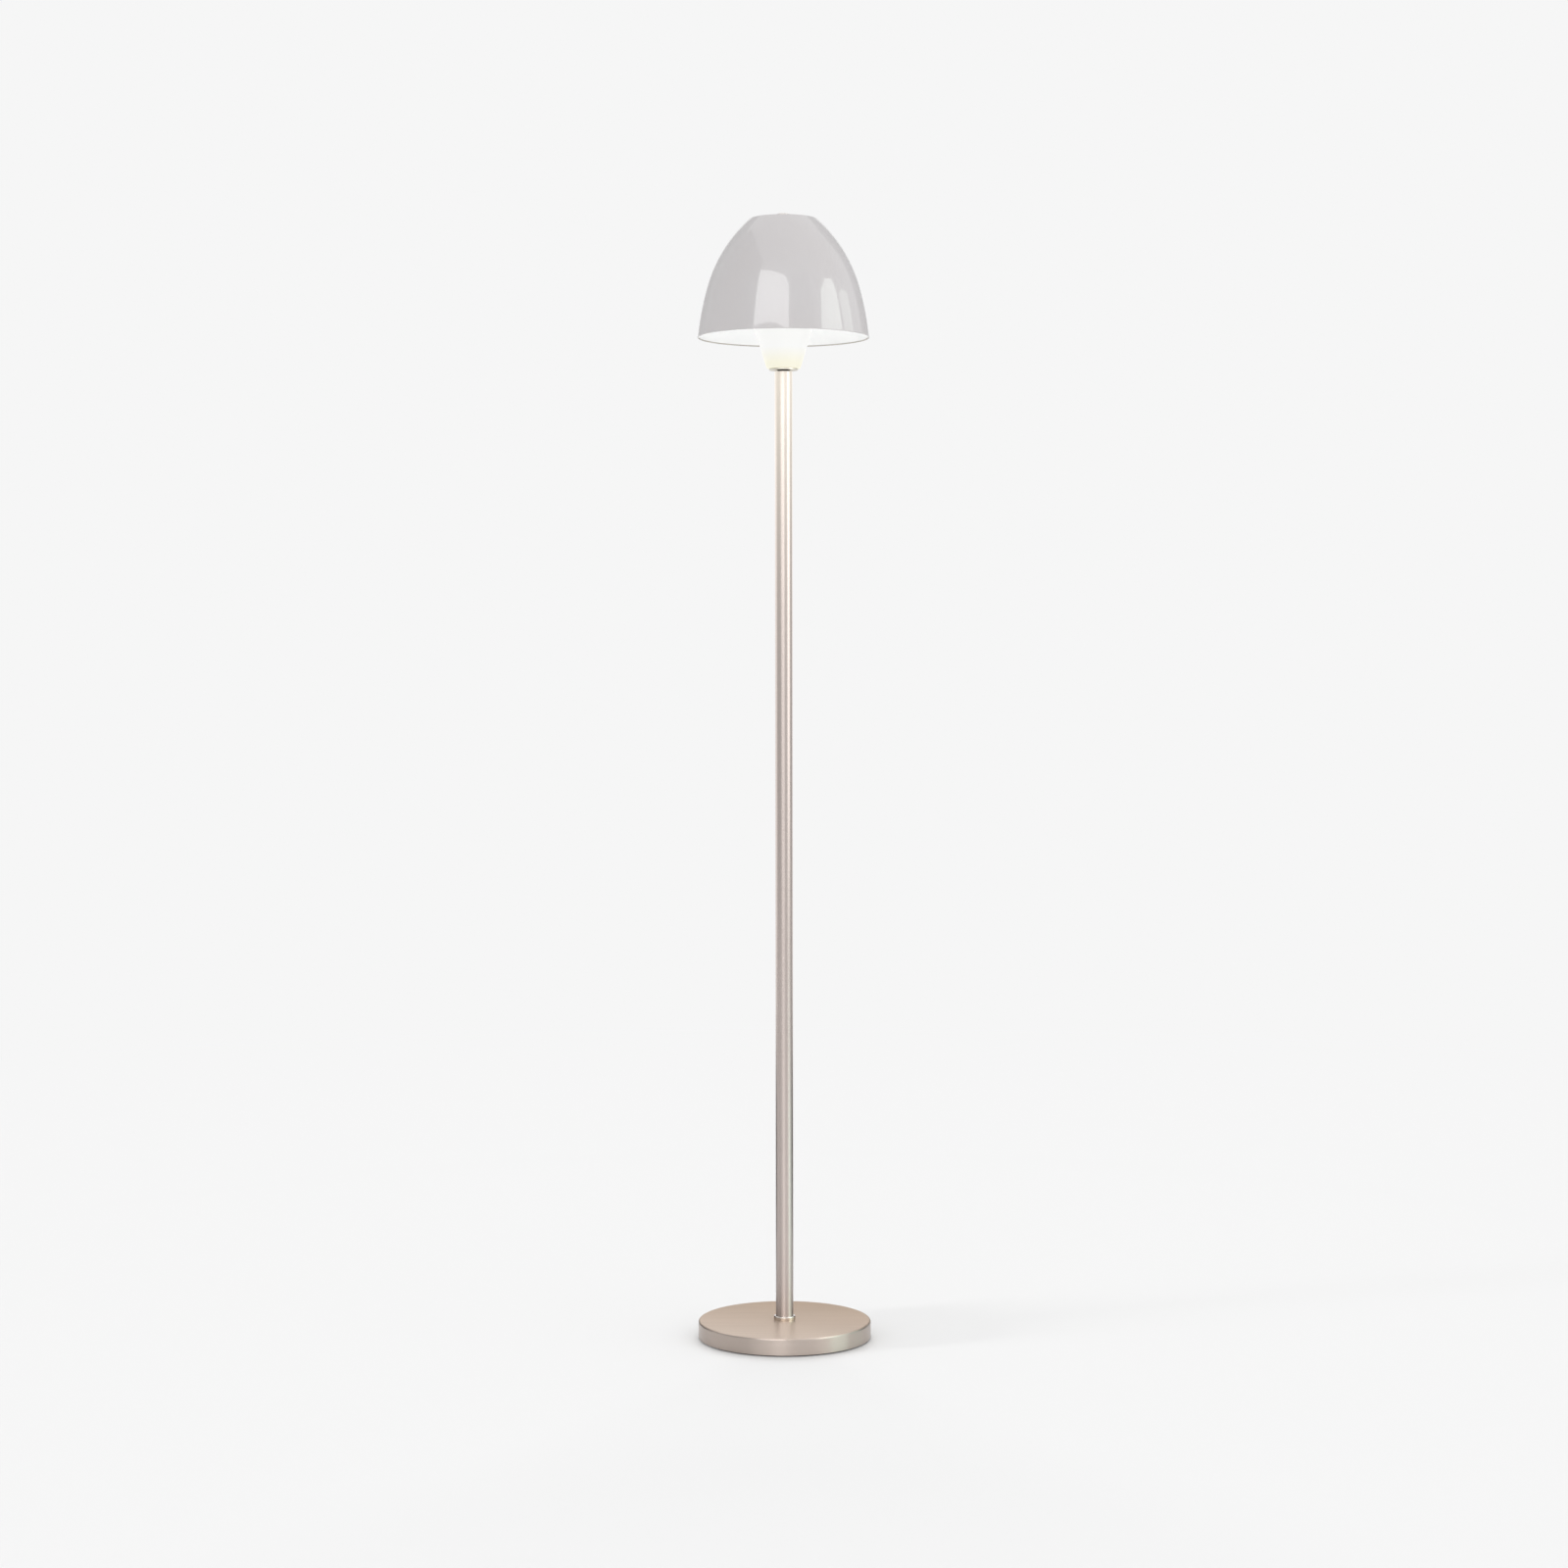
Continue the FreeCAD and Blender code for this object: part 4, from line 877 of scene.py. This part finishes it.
# %% Cards for the base
BASE_CENTRE = Vector((0, 0, 0.01))
BASE_CARD_DISTANCE = 0.6
GREEN_TINTED = (0.74, 1.0, 0.93, 1.0)
BASE_CARDS = {
    "low_flag_left": (0.1, DAYLIGHT, upright(-155, -112, 0, 30)),
    "low_flag_front": (0.8, DAYLIGHT, upright(-42, -19, 0, 22)),
    "low_window_front": (1.6, DAYLIGHT, upright(-13, 3, 0, 22)),
    "low_room_front": (1.15, DAYLIGHT, upright(4, 44, 0, 22)),
    "low_window_right": (2.15, GREEN_TINTED, upright(57, 84, 0, 22)),
    "low_garden_right": (0.9, GREEN_TINTED, upright(90, 116, 0, 22)),
    "low_flag_right": (0.1, DAYLIGHT, upright(117, 155, 0, 30)),
}

put_up(BASE_CARDS, BASE_CENTRE, BASE_CARD_DISTANCE)

# %% [markdown]
# The pole needs stripes along its whole length. The brushing draws each card out up and down, so
# cards about its middle are enough when they are near and tall. They give two bright stripes in
# front, a dark one on the left, and the pale edges that the real pole has.

# %% Cards for the pole
POLE_CENTRE = Vector((0, 0, 0.9))
POLE_CARD_DISTANCE = 0.5
POLE_CARDS = {
    "pole_edge_left": (1.2, DAYLIGHT, upright(-164, -102, -45, 38)),
    "pole_flag_left": (0.62, DAYLIGHT, upright(-92, -34, -35, 38)),
    "pole_stripe_left": (1.3, DAYLIGHT, upright(-13, 8, -35, 38)),
    "pole_stripe_right": (2.0, DAYLIGHT, upright(50, 84, -22, 38)),
    "pole_edge_right": (1.1, DAYLIGHT, upright(134, 166, -45, 38)),
}

put_up(POLE_CARDS, POLE_CENTRE, POLE_CARD_DISTANCE)

# %% [markdown]
# The lit pole is brighter than its mirror image would be, and the base shows a pale stripe in front
# of its foot. More glow on the pole would give the stripe and spoil the pole. So a narrow strip of
# light stands just before the pole, seen by mirrors only. Its back is clear, so that the pole behind
# it mirrors the room and not the strip.

# %% Strip of light at the foot of the pole
STRIP_HALF_WIDTH = 0.008
STRIP_GAP = 0.003
STRIP_TOP = 0.3
STRIP_BRIGHTNESS = 1.0


def make_foot_strip():
    finish = light_only("foot_strip", DAYLIGHT, STRIP_BRIGHTNESS)
    finish.feed(Alpha=1 - finish.node("NewGeometry", output="Backfacing"))
    before = -POLE_RADIUS - STRIP_GAP
    low, high = BASE_HIGH.z + STRIP_GAP, STRIP_TOP
    corners = [(-STRIP_HALF_WIDTH, before, low), (STRIP_HALF_WIDTH, before, low),
               (STRIP_HALF_WIDTH, before, high), (-STRIP_HALF_WIDTH, before, high)]
    show_in_mirrors_only(make_card("foot_strip", corners, finish))
    print(f"foot_strip: from {low:.3f} m to {high:.3f} m up")


make_foot_strip()

# %% [markdown]
# ## Suns
#
# Two weak suns light the lamp, one wide one from each side. Two more light the floor alone, so that
# they shape the shadow without touching the finishes: a low one whose shadow leads away to the
# right, and a broad one from behind that darkens the floor just in front of the base. One strong
# sun could throw that shadow too, but it would bleach the pale shade.

# %% Suns
# Each sun has a strength, and in degrees a width, an azimuth and an elevation.
SUNS = {
    "sun_left": (0.15, 40, -70, 35),
    "sun_right": (0.45, 60, 60, 25),
}
FLOOR_SUNS = {
    "floor_sun_low": (3.4, 8, -70, 4),
    "floor_sun_back": (1.2, 36, 180, 50),
}
SUN_DISTANCE = 5.0


def add_sun(name, strength, width, azimuth, elevation):
    data = bpy.data.lights.new(name, "SUN")
    data.energy = strength
    data.angle = math.radians(width)
    sun = bpy.data.objects.new(name, data)
    towards = direction(azimuth, elevation)
    sun.location = towards * SUN_DISTANCE
    sun.rotation_euler = (-towards).to_track_quat("-Z", "Y").to_euler()
    sun.visible_camera = False
    sun.visible_glossy = False
    bpy.context.scene.collection.objects.link(sun)
    return sun


for sun_name, sun_settings in SUNS.items():
    add_sun(sun_name, *sun_settings)
lit_by_floor_suns = bpy.data.collections.new("lit_by_floor_suns")
lit_by_floor_suns.objects.link(floor)
for sun_name, sun_settings in FLOOR_SUNS.items():
    add_sun(sun_name, *sun_settings).light_linking.receiver_collection = lit_by_floor_suns
print("suns:", len(SUNS), "and for the floor alone:", len(FLOOR_SUNS))
